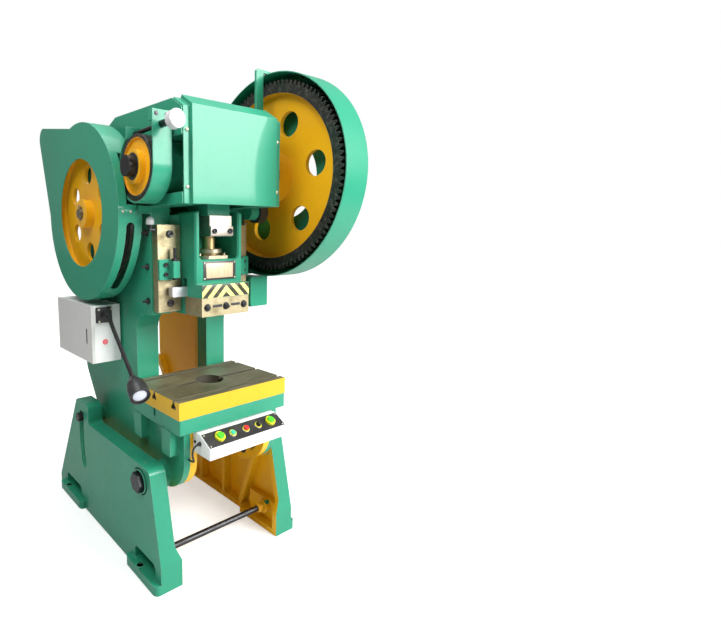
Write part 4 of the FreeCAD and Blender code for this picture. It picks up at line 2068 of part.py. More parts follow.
def lamp_head():
    """The bell of the work lamp, hollow at its mouth."""
    start = lamp_points()[2] + lamp_axis() * SEAT_GAP
    profile = [
        (0, 0),
        (BELL_NECK_R, 0),
        BELL_SHOULDER,
        (BELL_R, BELL_FLARE),
        (BELL_R, BELL_LONG),
        (BELL_R - BELL_WALL, BELL_LONG),
        (BELL_R - BELL_WALL, BELL_LONG - BELL_RECESS),
        (0, BELL_LONG - BELL_RECESS),
    ]
    wire = Part.makePolygon([Vector(radius, 0, along) for radius, along in profile + [profile[0]]])
    bell = Part.Face(wire).revolve(Vector(0, 0, 0), Z_AXIS, 360)
    return aimed(bell, start)


def aimed(shape, start):
    """Turns a shape made along Z on to the lamp's axis and moves it."""
    turn = FreeCAD.Rotation(Z_AXIS, lamp_axis())
    shape.Placement = FreeCAD.Placement(start, turn)
    return shape


# ---------------------------------------------------------------------- trip
def trip_box():
    """The housing of the trip magnet on the right cheek."""
    x0 = BODY_HALF + SEAT_GAP
    y0 = TRIP_Y - TRIP_BOX_HALF
    y1 = TRIP_Y + TRIP_BOX_HALF
    solid = box(x0, TRIP_BOX_END, y0, y1, TRIP_BOX_Z, TRIP_BOX_TOP_Z)
    low = TRIP_BOX_TOP_Z - TRIP_BORE_DEEP
    return solid.cut(round_z(TRIP_ROD_R + RUN_GAP, low, TRIP_BOX_TOP_Z + 1, TRIP_ROD_X, TRIP_Y))


def trip_rod():
    """The rod from the trip magnet up to the lever."""
    collar = TRIP_BOX_TOP_Z + TRIP_COLLAR_UP
    x0 = TRIP_ROD_X - TRIP_EYE_HALF
    y0 = TRIP_Y - TRIP_EYE_DEEP
    y1 = TRIP_Y + TRIP_EYE_DEEP
    foot_z = TRIP_ROD_TOP_Z - TRIP_EYE_DEEP
    return fuse([
        round_z(TRIP_ROD_R, TRIP_BOX_TOP_Z - TRIP_ROD_IN, TRIP_ROD_TOP_Z, TRIP_ROD_X, TRIP_Y),
        round_z(TRIP_COLLAR_R, collar, collar + TRIP_COLLAR, TRIP_ROD_X, TRIP_Y),
        box(x0, TRIP_ROD_X - TRIP_EYE, y0, y1, foot_z, TRIP_LEVER_Z + TRIP_EYE_HALF),
        box(x0, TRIP_ROD_X + TRIP_EYE_HALF, y0, y1, foot_z, TRIP_ROD_TOP_Z),
    ])


def trip_lever():
    """The bell crank that blocks and frees the clutch's tail."""
    x0 = TRIP_ROD_X - TRIP_EYE + TRIP_SIDE_GAP
    x1 = x0 + TRIP_LEVER_LONG
    end = TRIP_Y + TRIP_LEVER_END
    arm = plate_x(
        [
            (RAM_Y, TRIP_LEVER_Z - TRIP_LEVER_ROOT, 0),
            (end, TRIP_LEVER_Z - TRIP_LEVER_TIP, TRIP_LEVER_TIP - 1),
            (end, TRIP_LEVER_Z + TRIP_LEVER_TIP, TRIP_LEVER_TIP - 1),
            (RAM_Y, TRIP_LEVER_Z + TRIP_LEVER_ROOT, 0),
        ],
        x0,
        x0 + TRIP_LEVER_ARM,
    )
    catch = plate_x([(RAM_Y + y, TRIP_LEVER_Z + z, r) for y, z, r in TRIP_CATCH], x0, x1)
    hub = round_x(TRIP_HUB_R, x0, x1, RAM_Y, TRIP_LEVER_Z)
    bore = round_x(TRIP_STUB_R + RUN_GAP, x0 - 1, x1 + 1, RAM_Y, TRIP_LEVER_Z)
    return fuse([hub, arm, catch]).cut(bore)


PIECES = {
    "left_leg": lambda: mirrored(right_leg()),
    "right_leg": right_leg,
    "tie_rod": tie_rod,
    "press_body": press_body,
    "pivot_bolts": pivot_bolts,
    "clamp_bolts": clamp_bolts,
    "bolster_plate": bolster_plate,
    "left_gib": lambda: mirrored(right_gib()),
    "right_gib": right_gib,
    "knockout_brackets": lambda: both_sides(right_knockout_bracket()),
    "crank_bushes": crank_bushes,
    "bearing_caps": bearing_caps,
    "shaft_bearings": shaft_bearings,
    "head_cover": head_cover,
    "flywheel_guard": flywheel_guard,
    "gear_guard": gear_guard,
    "guard_stays": lambda: flywheel_guard_stays() + gear_guard_stays(),
    "motor_bracket": motor_bracket,
    "drive_motor": drive_motor,
    "v_belts": v_belts,
    "brake_bracket": brake_bracket,
    "brake_band": brake_band,
    "brake_lining": brake_lining,
    "brake_tension_rod": brake_tension_rod,
    "brake_knob": brake_knob,
    "panel_box": panel_box,
    "panel_face": panel_face,
    "button_collars": button_collars,
    "panel_cable": panel_cable,
    "left_palm_button": lambda: button(0, PALM_HIGH),
    "start_button": lambda: button(1, START_HIGH),
    "stop_button": lambda: button(2, STOP_HIGH),
    "selector_knob": selector_knob,
    "right_palm_button": lambda: button(4, PALM_HIGH),
    "cabinet_case": cabinet_case,
    "cabinet_door": cabinet_door,
    "indicator_light": indicator_light,
    "work_lamp_base": lamp_base,
    "work_lamp_arm": lamp_arm,
    "work_lamp_head": lamp_head,
    "trip_box": trip_box,
    "trip_rod": trip_rod,
    "trip_lever": trip_lever,
    "crankshaft": crankshaft,
    "crank_end_plate": crank_end_plate,
    "clutch_collar": clutch_collar,
    "brake_drum": brake_drum,
    "eccentric_sleeve": eccentric_sleeve,
    "bull_gear": bull_gear,
    "pinion_shaft": pinion_shaft,
    "flywheel": flywheel,
    "motor_pulley": motor_pulley,
    "connecting_rod": connecting_rod,
    "rod_cap": rod_cap,
    "rod_clamp": rod_clamp,
    "adjusting_screw": adjusting_screw,
    "ram": ram,
    "ball_cap": ball_cap,
    "shank_clamp": shank_clamp,
    "knockout_bar": knockout_bar,
}

for name, make in PIECES.items():
    save(name, make())
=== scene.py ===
"""The looks of a mechanical stamping press, built around its packed construction."""

import json
import logging
import math
from contextlib import contextmanager
from dataclasses import dataclass
from enum import Enum
from typing import Any, Callable, Iterator, Optional, Sequence, Union

import bpy
from mathutils import Matrix, Quaternion, Vector


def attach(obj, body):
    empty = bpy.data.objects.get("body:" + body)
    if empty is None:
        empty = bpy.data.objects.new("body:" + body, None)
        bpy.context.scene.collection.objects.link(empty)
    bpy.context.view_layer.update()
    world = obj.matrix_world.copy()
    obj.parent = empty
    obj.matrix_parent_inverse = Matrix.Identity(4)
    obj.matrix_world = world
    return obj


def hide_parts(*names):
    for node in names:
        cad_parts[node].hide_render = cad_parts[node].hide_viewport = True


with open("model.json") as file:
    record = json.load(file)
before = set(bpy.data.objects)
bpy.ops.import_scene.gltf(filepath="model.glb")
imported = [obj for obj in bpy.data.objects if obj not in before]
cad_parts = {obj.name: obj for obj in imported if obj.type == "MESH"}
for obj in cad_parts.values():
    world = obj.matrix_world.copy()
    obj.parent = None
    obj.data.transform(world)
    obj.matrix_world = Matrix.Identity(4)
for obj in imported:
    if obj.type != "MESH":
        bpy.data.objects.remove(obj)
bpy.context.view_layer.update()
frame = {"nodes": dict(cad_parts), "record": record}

log = logging.getLogger("press")

MM = 0.001
Triple = tuple[float, float, float]
Pair = tuple[float, float]
Piece = bpy.types.Object
Socket = bpy.types.NodeSocket
Material = bpy.types.Material

ORIGIN: Triple = (0, 0, 0)
UP: Triple = (0, 0, 1)
RIGHT: Triple = (1, 0, 0)
LEFT: Triple = (-1, 0, 0)
FRONT: Triple = (0, -1, 0)
SIDES = ((-1, "left", LEFT), (1, "right", RIGHT))

CRANK_AXIS: Pair = (-395, 1646)
SECOND_AXIS: Pair = (55.07, 1491.03)

COPY_TURN = 37
THREAD_PITCH = 3
SHARP_ANGLE = 35
SMOOTH_ANGLE = 40
COIL_STEP = 22.5
COIL_STEPS = 16
WELD = 0.00001
SENSOR_WIDTH = 36


class Slot(Enum):
    """The record's material slots."""

    TEAL = "teal_paint"
    YELLOW = "yellow_paint"
    BRIGHT_YELLOW = "bright_yellow_paint"
    CABINET = "cabinet_paint"
    DOOR = "door_paint"
    CAST_IRON = "cast_iron_dark"
    STEEL = "machined_steel"
    DARK_STEEL = "dark_steel"
    BRONZE = "bronze"
    RUBBER = "belt_rubber"
    LINING = "lining"
    WHITE_PLASTIC = "white_plastic"
    BLACK_PLASTIC = "black_plastic"
    CABLE = "cable_jacket"
    PALM_GREEN = "palm_green"
    START_GREEN = "start_green"
    STOP_RED = "stop_red"
    COLLAR_YELLOW = "collar_yellow"
    SIGNAL_RED = "signal_red"


class Head(Enum):
    """The kinds of screw head on the press."""

    HEX = "hex"
    SOCKET = "socket"
    SLOTTED = "slotted"
    DOMED = "domed"


# ------------------------------------------------------------------ materials
def operator(operation: str, swapped: bool = False) -> Callable[..., "Term"]:
    """Turns one of Python's operators into a Math node.

    Args:
        operation: the node's operation.
        swapped: whether the Term is the second value.

    Returns:
        The method that a Term has for the operator.
    """

    def apply(term: "Term", *others: "Value") -> "Term":
        """Adds the node on this value and the other."""
        values = (term, *others)
        return term.nodes.math(operation, *(values[::-1] if swapped else values))

    return apply


class Term:
    """A value in a material's sums: Python's operators on it add Math nodes."""

    __add__ = __radd__ = operator("ADD")
    __sub__ = operator("SUBTRACT")
    __rsub__ = operator("SUBTRACT", swapped=True)
    __mul__ = __rmul__ = operator("MULTIPLY")
    __truediv__ = operator("DIVIDE")
    __mod__ = operator("FLOORED_MODULO")
    __gt__ = operator("GREATER_THAN")
    __lt__ = operator("LESS_THAN")
    __abs__ = operator("ABSOLUTE")
    __pow__ = operator("POWER")
    most = operator("MAXIMUM")

    def __init__(self, nodes: "Nodes", socket: Socket) -> None:
        """Wraps one output socket of a tree."""
        self.nodes = nodes
        self.socket = socket

    def rise(self, start: float, end: float) -> "Term":
        """Nothing below one value, one past another, and evenly in between.

        Args:
            start: the value up to which it is nothing.
            end: the value from which it is one.

        Returns:
            The share of the way.
        """
        step = (self - start) / (end - start)
        step.socket.node.use_clamp = True
        return step


Value = Union[Term, float]


class Nodes:
    """A tree of nodes while it is laid out."""

    def __init__(self, tree: bpy.types.NodeTree) -> None:
        """Takes a tree and empties it."""
        self.tree = tree
        tree.nodes.clear()

    def feed(self, socket: Socket, value: Any) -> None:
        """Links a socket to a value's source, or sets it.

        Args:
            socket: the input socket.
            value: a Term, an output socket, a number or a colour's three parts.
        """
        if isinstance(value, Term):
            value = value.socket
        if isinstance(value, Socket):
            self.tree.links.new(value, socket)
        else:
            socket.default_value = (*value, 1) if socket.type == "RGBA" else value

    def node(
        self, kind: str, inputs: Optional[dict[Any, Any]] = None, **settings: Any
    ) -> bpy.types.Node:
        """Adds a node, sets it and fills its sockets.

        Args:
            kind: the node's type.
            inputs: what goes into each socket, by its name or number.
            settings: its properties, set before the sockets.

        Returns:
            The node.
        """
        made = self.tree.nodes.new(kind)
        for name, value in settings.items():
            setattr(made, name, value)
        for name, value in (inputs or {}).items():
            self.feed(made.inputs[name], value)
        return made

    def math(self, operation: str, *values: Value) -> Term:
        """Adds one Math node on two values at most."""
        made = self.node("ShaderNodeMath", dict(enumerate(values)), operation=operation)
        return Term(self, made.outputs[0])

    def seen(self, mirrored: float) -> Term:
        """Tells what the camera sees from what only lights the press.

        Args:
            mirrored: how much a mirrored view counts.

        Returns:
            One for a view that is straight or through glass, less for a mirrored one.
        """
        rays = self.node("ShaderNodeLightPath").outputs
        straight = Term(self, rays["Is Camera Ray"]).most(Term(self, rays["Is Transmission Ray"]))
        return straight.most(Term(self, rays["Is Glossy Ray"]) * mirrored)


class Shade(Nodes):
    """One material while its nodes are laid out. Its x, y and z are metres."""

    def __init__(self, name: str) -> None:
        """Starts a material with its surface shader and its object coordinates.

        Args:
            name: the material's name.
        """
        self.material = bpy.data.materials.new(name)
        self.material.use_nodes = True
        super().__init__(self.material.node_tree)
        self.surface = self.node("ShaderNodeBsdfPrincipled")
        self.node("ShaderNodeOutputMaterial", {"Surface": self.surface.outputs[0]})
        self.place = self.node("ShaderNodeTexCoord").outputs["Object"]
        self.x, self.y, self.z = self.parts(self.place)

    def parts(self, vector: Socket) -> tuple[Term, ...]:
        """The three parts of a vector."""
        outputs = self.node("ShaderNodeSeparateXYZ", {0: vector}).outputs
        return tuple(Term(self, socket) for socket in outputs)

    def facing(self) -> tuple[Term, ...]:
        """The three parts of the piece's own normal."""
        return self.parts(self.node("ShaderNodeTexCoord").outputs["Normal"])

    def noise(self, scale: float, detail: float = 3, stretch: Triple = (1, 1, 1)) -> Term:
        """Cloudy noise over the piece.

        Args:
            scale: clouds to the metre.
            detail: how many finer layers it has.
            stretch: the factor on each axis, above one where the clouds are narrow.

        Returns:
            The noise, about one half on average.
        """
        place = self.node("ShaderNodeMapping", {"Vector": self.place, "Scale": stretch})
        inputs = {"Vector": place.outputs[0], "Scale": scale, "Detail": detail}
        return Term(self, self.node("ShaderNodeTexNoise", inputs).outputs[0])

    def mix(self, factor: Value, first: Any, second: Any, blend: str = "MIX") -> Any:
        """Blends two colours by a factor."""
        inputs = {0: factor, 6: first, 7: second}
        return self.node("ShaderNodeMix", inputs, data_type="RGBA", blend_type=blend).outputs[2]

    def bump(self, height: Term, depth: float, over: Any = None) -> Socket:
        """Raises the surface by a height.

        Args:
            height: the height, from nothing to one.
            depth: how many millimetres one is.
            over: the normal that it starts from, if it isn't the flat one.

        Returns:
            The new normal.
        """
        inputs = {"Height": height, "Distance": depth * MM}
        if over is not None:
            inputs["Normal"] = over
        return self.node("ShaderNodeBump", inputs).outputs[0]

    def rounding(self, radius: float) -> Socket:
        """The normal of edges rounded by so many millimetres."""
        return self.node("ShaderNodeBevel", {"Radius": radius * MM}, samples=4).outputs[0]

    def edges(self, rounded: Socket) -> Term:
        """Finds the edges, by how far a rounded normal leans from the flat one.

        Args:
            rounded: the rounded normal.

        Returns:
            Nothing on the faces, and more towards the edges.
        """
        inputs = {0: rounded, 1: self.node("ShaderNodeNewGeometry").outputs["Normal"]}
        made = self.node("ShaderNodeVectorMath", inputs, operation="DOT_PRODUCT")
        return 1 - Term(self, made.outputs["Value"])

    def reach(self, y: float, z: float) -> Term:
        """Measures how far the surface is from an axis along X.

        Args:
            y: the axis's Y in millimetres.
            z: the axis's Z in millimetres.

        Returns:
            The distance in metres.
        """
        across = self.y - y * MM
        along = self.z - z * MM
        return (across * across + along * along) ** 0.5

    def fill(self, **sockets: Any) -> Material:
        """Feeds the surface shader.

        Args:
            sockets: what goes into each socket, by its name with underscores for spaces.

        Returns:
            The material.
        """
        for name, value in sockets.items():
            self.feed(self.surface.inputs[name.replace("_", " ")], value)
        return self.material


@dataclass(frozen=True)
class Finish:
    """What a material is made from.

    Attributes:
        name: the material's name.
        colour: its clean colour, in linear light.
    """

    name: str
    colour: Triple

    def make(self) -> Material:
        """Lays out the nodes and gives the material."""
        raise NotImplementedError


DUST: Triple = (0.55, 0.6, 0.6)
FILM: Triple = (0.62, 0.66, 0.62)
# Screened onto every edge: the colour of worn paint and also of a painted highlight.
EDGE_HIGHLIGHT_AND_WEAR: Triple = (0.75, 0.85, 0.8)
PRIMER: Triple = (0.1, 0.1, 0.09)


@dataclass(frozen=True)
class Enamel(Finish):
    """Glossy paint on a casting or a sheet, with clouds, dust, chipped edges and edges lightened
    partly by wear and partly as a painted highlight.

    Attributes:
        rough: how rough its shine is.
        edge: how far the edges are rounded, in millimetres.
        wave: how deep the surface waves, in millimetres.
        grime: how much the dust darkens it.
    """

    rough: float = 0.3
    edge: float = 3
    wave: float = 0.6
    grime: float = 0.22

    def cover(self, shade: Shade) -> Any:
        """The paint's colour over the piece."""
        return self.colour

    def make(self) -> Material:
        """Lays out the nodes.

        Returns:
            The material.
        """
        shade = Shade(self.name)
        clouds = (shade.noise(3, 4) - 0.35).rise(0, 0.4)
        mottle = shade.noise(46, 4)
        colour = shade.mix(clouds * self.grime, self.cover(shade), DUST, "MULTIPLY")
        colour = shade.mix(mottle.rise(0.55, 0.75) * 0.16, colour, FILM, "MULTIPLY")
        rounded = shade.rounding(self.edge)
        edges_highlit_and_worn = shade.edges(rounded).rise(0.02, 0.12)
        chips = edges_highlit_and_worn * shade.noise(70, 5).rise(0.56, 0.62)
        # Every edge is screened paler: partly worn paint, partly a painted highlight where the
        # edges catch the light.
        colour = shade.mix(edges_highlit_and_worn * 0.25, colour, EDGE_HIGHLIGHT_AND_WEAR, "SCREEN")
        waved = shade.bump(shade.noise(7, 2), self.wave, rounded)
        return shade.fill(
            Base_Color=shade.mix(chips * 0.55, colour, PRIMER),
            Roughness=self.rough + mottle * 0.12 + chips * 0.3,
            Normal=shade.bump(shade.noise(420, 1), 0.04, waved),
            Coat_Weight=0.22, Coat_Roughness=0.08, Specular_IOR_Level=0.22,
        )


@dataclass(frozen=True)
class LegEnamel(Enamel):
    """The legs' paint, with another colour on the hollow side, which faces the middle.

    Attributes:
        hollow: the hollow side's colour.
    """

    hollow: Triple = (0.97, 0.56, 0.008)

    def cover(self, shade: Shade) -> Any:
        """Sets the hollow's colour inside the flange, on the web and on its ribs.

        Args:
            shade: the material while it is laid out.

        Returns:
            The paint's colour over the piece.
        """
        side, front, top = shade.facing()
        outward = side * (abs(shade.x) / shade.x)
        flange = (abs(shade.x) < 0.3335) * (outward < 0.3) * (shade.z < 0.47)
        towards = (shade.y * front + (shade.z - 0.26) * top) < 0
        rib = (abs(shade.y + 0.09) < 0.39) * (abs(top) < 0.6) * (shade.z < 0.42)
        pocket = abs(abs(shade.y) - 0.402) < 0.085
        pocket = (abs(shade.x) > 0.305) * (shade.z < 0.09) * pocket
        within = flange * towards.most(rib) * (1 - pocket)
        return shade.mix((outward < -0.4).most(within), self.colour, self.hollow)


@dataclass(frozen=True)
class BodyEnamel(Enamel):
    """The press body's paint, with another colour on what faces the middle.

    Attributes:
        hollow: the colour between the cheeks.
        half: half the room between the cheeks, in metres.
    """

    hollow: Triple = (0.9, 0.5, 0.01)
    half: float = 0.2143

    def cover(self, shade: Shade) -> Any:
        """Sets the hollow's colour between the cheeks, low down and at the back.

        Args:
            shade: the material while it is laid out.

        Returns:
            The paint's colour over the piece.
        """
        low = (shade.z < 0.634) * (abs(shade.x) < self.half)
        back = (shade.y > -0.12) * (abs(shade.x) < self.half) * (shade.z < 1.5)
        return shade.mix(low.most(back), self.colour, self.hollow)


@dataclass(frozen=True)
class TablePaint(Enamel):
    """The bolster plate: painted sides, a ground steel top and greasy slots.

    Attributes:
        top: the height from which a level face is bare, in millimetres.
    """

    top: float = 764.6

    def make(self) -> Material:
        """Lays out the nodes.

        Returns:
            The material.
        """
        shade = Shade(self.name)
        up = shade.facing()[2]
        ground = (shade.z > self.top * MM) * (up > 0.5)
        inside = (abs(shade.x) < 0.2785) * (shade.y > -0.5785) * (shade.y < -0.2115)
        deep = inside * (shade.z > 0.6955) * (1 - ground)
        streaks = shade.noise(14, 5, (1, 14, 1))
        oil = shade.noise(5, 5).rise(0.42, 0.66)
        steel = shade.mix(streaks.rise(0.3, 0.7), (0.2, 0.185, 0.105), (0.33, 0.31, 0.2))
        steel = shade.mix(oil * 0.6, steel, (0.075, 0.065, 0.025))
        grime = shade.mix(oil, (0.055, 0.05, 0.035), (0.14, 0.12, 0.07))
        dust = shade.noise(30, 4).rise(0.5, 0.8) * 0.2
        paint = shade.mix(dust, self.colour, (0.7, 0.6, 0.3), "MULTIPLY")
        return shade.fill(
            Base_Color=shade.mix(ground, shade.mix(deep, paint, grime), steel),
            Metallic=ground * 0.55,
            Roughness=self.rough + ground * 0.12 + deep * 0.25 + oil * 0.06,
            Normal=shade.bump(streaks, 0.05, shade.rounding(self.edge)),
            Specular_IOR_Level=0.4,
        )


@dataclass(frozen=True)
class WheelPaint(Enamel):
    """A painted wheel whose outer ring is bare, dark and greasy.

    Attributes:
        axis: the wheel's axis, as its Y and Z in millimetres.
        ring: the radius from which the ring is bare.
        hub: the radius up to which the hub is bare too.
    """

    axis: Pair = (0, 0)
    ring: float = 362
    hub: float = 0

    def cover(self, shade: Shade) -> Any:
        """Sets paint on the web, and grease on the ring and the bare hub.

        Args:
            shade: the material while it is laid out.

        Returns:
            The colour over the piece.
        """
        radius = shade.reach(*self.axis)
        bare = (radius > self.ring * MM).most(radius < self.hub * MM)
        blots = shade.noise(60, 4).rise(0.5, 0.75)
        grease = shade.mix(blots, (0.022, 0.022, 0.02), (0.09, 0.085, 0.07))
        return shade.mix(bare, self.colour, grease)


@dataclass(frozen=True)
class Metal(Finish):
    """Bare metal with tool marks and oil stains.

    Attributes:
        stain: what the oil turns it to.
        rough: how rough its shine is.
        marks: how the tool marks are stretched.
        stained: how much of it is stained.
    """

    stain: Triple
    rough: float = 0.3
    marks: Triple = (1, 1, 12)
    stained: float = 0.5

    def make(self) -> Material:
        """Lays out the nodes.

        Returns:
            The material.
        """
        shade = Shade(self.name)
        marks = shade.noise(40, 5, self.marks)
        blots = shade.noise(16, 5).rise(0.5, 0.72)
        colour = shade.mix(marks.rise(0.3, 0.75) * 0.35, self.colour, self.stain)
        return shade.fill(
            Base_Color=shade.mix(blots * self.stained, colour, self.stain),
            Metallic=1 - blots * 0.35,
            Roughness=self.rough + marks * 0.14 + blots * 0.12,
            Normal=shade.bump(marks, 0.05, shade.rounding(1.2)),
        )


@dataclass(frozen=True)
class Moulding(Finish):
    """Plastic, rubber or lining: one colour with a fine grain and some wear.

    Attributes:
        rough: how rough its shine is.
        grain: grains to the metre.
        depth: the grain's depth in millimetres.
    """

    rough: float = 0.4
    grain: float = 600
    depth: float = 0.03

    def make(self) -> Material:
        """Lays out the nodes.

        Returns:
            The material.
        """
        shade = Shade(self.name)
        wear = shade.noise(24, 4).rise(0.45, 0.8)
        worn = tuple(0.75 * part + 0.05 for part in self.colour)
        return shade.fill(
            Base_Color=shade.mix(wear * 0.5, self.colour, worn),
            Roughness=self.rough + wear * 0.12,
            Normal=shade.bump(shade.noise(self.grain, 2), self.depth, shade.rounding(1)),
        )


@dataclass(frozen=True)
class Stripes(Finish):
    """The band over the clamp: slanting stripes that meet in a dark triangle.

    Attributes:
        low: the band's lower edge, in millimetres.
        pitch: from one dark stripe to the next.
    """

    low: float
    pitch: float = 50

    def make(self) -> Material:
        """Lays out the nodes.

        Returns:
            The material.
        """
        shade = Shade(self.name)
        slant = abs(shade.x) + shade.z
        dark = ((slant - (self.low - 4) * MM) % (self.pitch * MM)) < self.pitch * MM / 2
        worn = shade.noise(90, 5).rise(0.58, 0.7)
        striped = shade.mix(dark, self.colour, (0.035, 0.035, 0.02))
        colour = shade.mix(worn * 0.35, striped, (0.42, 0.38, 0.2))
        return shade.fill(Base_Color=colour, Roughness=0.35 + worn * 0.2, Specular_IOR_Level=0.4)


@dataclass(frozen=True)
class NamePlate(Finish):
    """A bare plate: a pale field in a dark frame.

    Attributes:
        middle: the field's middle, as its X and Z in millimetres.
        half: the field's half sizes.
    """

    middle: Pair
    half: Pair

    def make(self) -> Material:
        """Lays out the nodes.

        Returns:
            The material.
        """
        shade = Shade(self.name)
        across = abs(shade.x - self.middle[0] * MM) < self.half[0] * MM
        along = abs(shade.z - self.middle[1] * MM) < self.half[1] * MM
        sheen = shade.noise(20, 3, (8, 1, 1))
        field = shade.mix(sheen.rise(0.3, 0.7), self.colour, (0.7, 0.55, 0.37))
        colour = shade.mix(across * along, (0.05, 0.045, 0.045), field)
        return shade.fill(Base_Color=colour, Roughness=0.3 + sheen * 0.15, Metallic=0.15)


@dataclass(frozen=True)
class Lamplight(Finish):
    """Glass that is lit from behind.

    Attributes:
        light: how strongly it shines.
    """

    light: float

    def make(self) -> Material:
        """Lays out the nodes.

        Returns:
            The material.
        """
        shade = Shade(self.name)
        facets = shade.noise(160, 2)
        return shade.fill(
            Base_Color=self.colour,
            Roughness=0.12,
            Emission_Color=shade.mix(facets.rise(0.35, 0.65), self.colour, (0.55, 0.55, 0.6)),
            Emission_Strength=self.light,
            Normal=shade.bump(facets, 0.2),
        )


TEAL: Triple = (0.028, 0.3, 0.178)
YELLOW: Triple = (0.9, 0.46, 0.01)
CLAMP_STEEL = Metal("ClampSteel", (0.52, 0.49, 0.43), (0.25, 0.21, 0.14), 0.38)
OILED_WAYS = Metal("OiledWays", (0.52, 0.45, 0.28), (0.19, 0.155, 0.07), 0.4, (1, 1, 5), 0.75)
TURNED_CAP = Metal("TurnedCap", (0.56, 0.5, 0.37), (0.25, 0.2, 0.1), 0.28)
LEG_ENAMEL = LegEnamel("LegEnamel", TEAL)

FINISHES: dict[Slot, Finish] = {
    Slot.TEAL: Enamel("TealEnamel", TEAL),
    Slot.YELLOW: Enamel("OrangeYellowEnamel", YELLOW, 0.32),
    Slot.BRIGHT_YELLOW: TablePaint("TablePaint", (0.74, 0.44, 0.008), 0.34, 1.5),
    Slot.CABINET: Enamel("CabinetPowderCoat", (0.9, 0.91, 0.9), 0.42, 1, 0.1, 0.1),
    Slot.DOOR: Enamel("DoorPowderCoat", (0.7, 0.7, 0.68), 0.45, 1, 0.1, 0.1),
    Slot.CAST_IRON: Moulding("OiledCastIron", (0.028, 0.029, 0.03), 0.38, 220, 0.15),
    Slot.STEEL: Metal("GroundSteel", (0.64, 0.6, 0.5), (0.3, 0.25, 0.14)),
    Slot.DARK_STEEL: Metal("BlackenedSteel", (0.07, 0.07, 0.075), (0.03, 0.028, 0.025), 0.34),
    Slot.BRONZE: Metal("TurnedBronze", (0.52, 0.36, 0.14), (0.25, 0.16, 0.06), 0.28),
    Slot.RUBBER: Moulding("BeltRubber", (0.02, 0.02, 0.02), 0.7, 900, 0.06),
    Slot.LINING: Moulding("FrictionLining", (0.06, 0.045, 0.03), 0.8, 500, 0.15),
    Slot.WHITE_PLASTIC: Moulding("WhitePlastic", (0.66, 0.65, 0.66), 0.25, 300, 0.01),
    Slot.BLACK_PLASTIC: Moulding("BlackPlastic", (0.022, 0.022, 0.024), 0.36, 700),
    Slot.CABLE: Moulding("CableJacket", (0.02, 0.02, 0.02), 0.5, 800),
    Slot.PALM_GREEN: Moulding("PalmGreen", (0.08, 0.6, 0.03), 0.22, 300, 0.01),
    Slot.START_GREEN: Moulding("StartGreen", (0.05, 0.5, 0.33), 0.2, 300, 0.01),
    Slot.STOP_RED: Moulding("StopRed", (0.7, 0.02, 0.03), 0.2, 300, 0.01),
    Slot.COLLAR_YELLOW: Moulding("CollarYellow", (0.82, 0.8, 0.03), 0.25, 300, 0.01),
    Slot.SIGNAL_RED: Lamplight("SignalRed", (0.6, 0.01, 0.03), 0.35),
}

SPECIAL_NODES: dict[str, Finish] = {
    "left_leg": LEG_ENAMEL,
    "right_leg": LEG_ENAMEL,
    "press_body": BodyEnamel("BodyEnamel", TEAL),
    "bull_gear": WheelPaint("GearPaint", YELLOW, 0.32, 2, axis=CRANK_AXIS, ring=362.5),
    "flywheel": WheelPaint("FlywheelPaint", YELLOW, 0.32, 2, axis=SECOND_AXIS, ring=322),
    "brake_drum": WheelPaint("DrumPaint", YELLOW, 0.32, 2, axis=CRANK_AXIS, ring=106, hub=50),
    "crankshaft": Metal("OiledShaft", (0.06, 0.06, 0.06), (0.02, 0.019, 0.017)),
    "pinion_shaft": Metal("OiledPinion", (0.3, 0.27, 0.2), (0.08, 0.065, 0.04), 0.34),
    "left_gib": OILED_WAYS,
    "right_gib": OILED_WAYS,
    "shank_clamp": OILED_WAYS,
    "rod_clamp": CLAMP_STEEL,
    "adjusting_screw": Metal("BronzedScrew", (0.6, 0.45, 0.22), (0.28, 0.2, 0.08), 0.28),
    "ball_cap": TURNED_CAP,
    "knockout_bar": Metal("PaleBar", (0.82, 0.8, 0.86), (0.42, 0.4, 0.42), 0.42),
}


class Rack:
    """Holds the finishes that are already mixed, so that each is made once."""

    def __init__(self) -> None:
        """Starts with nothing mixed."""
        self.mixed: dict[str, Material] = {}

    def dress(self, mesh: bpy.types.ID, finish: Finish) -> None:
        """Gives a mesh or a curve one finish and no other.

        Args:
            mesh: the mesh or the curve.
            finish: the finish.
        """
        if finish.name not in self.mixed:
            self.mixed[finish.name] = finish.make()
        mesh.materials.clear()
        mesh.materials.append(self.mixed[finish.name])

    def dress_nodes(self) -> None:
        """Gives every node of the construction the finish of its slot, or its own."""
        for part in frame["record"]["subparts"]:
            name = part["node"]
            finish = SPECIAL_NODES.get(name, FINISHES[Slot(part["material_slot"])])
            self.dress(frame["nodes"][name].data, finish)
            log.info("node %s: %s", name, finish.name)


# ------------------------------------------------------------------ modelling
def circle(angles: Sequence[float]) -> list[Pair]:
    """The cosine and the sine of each angle in degrees."""
    return [(math.cos(math.radians(a)), math.sin(math.radians(a))) for a in angles]


def both(x: float, *points: Pair) -> list[Triple]:
    """Points at two sides of the middle: for each Y and Z, one at minus x and one at x."""
    return [(side * x, y, z) for side in (-1, 1) for y, z in points]


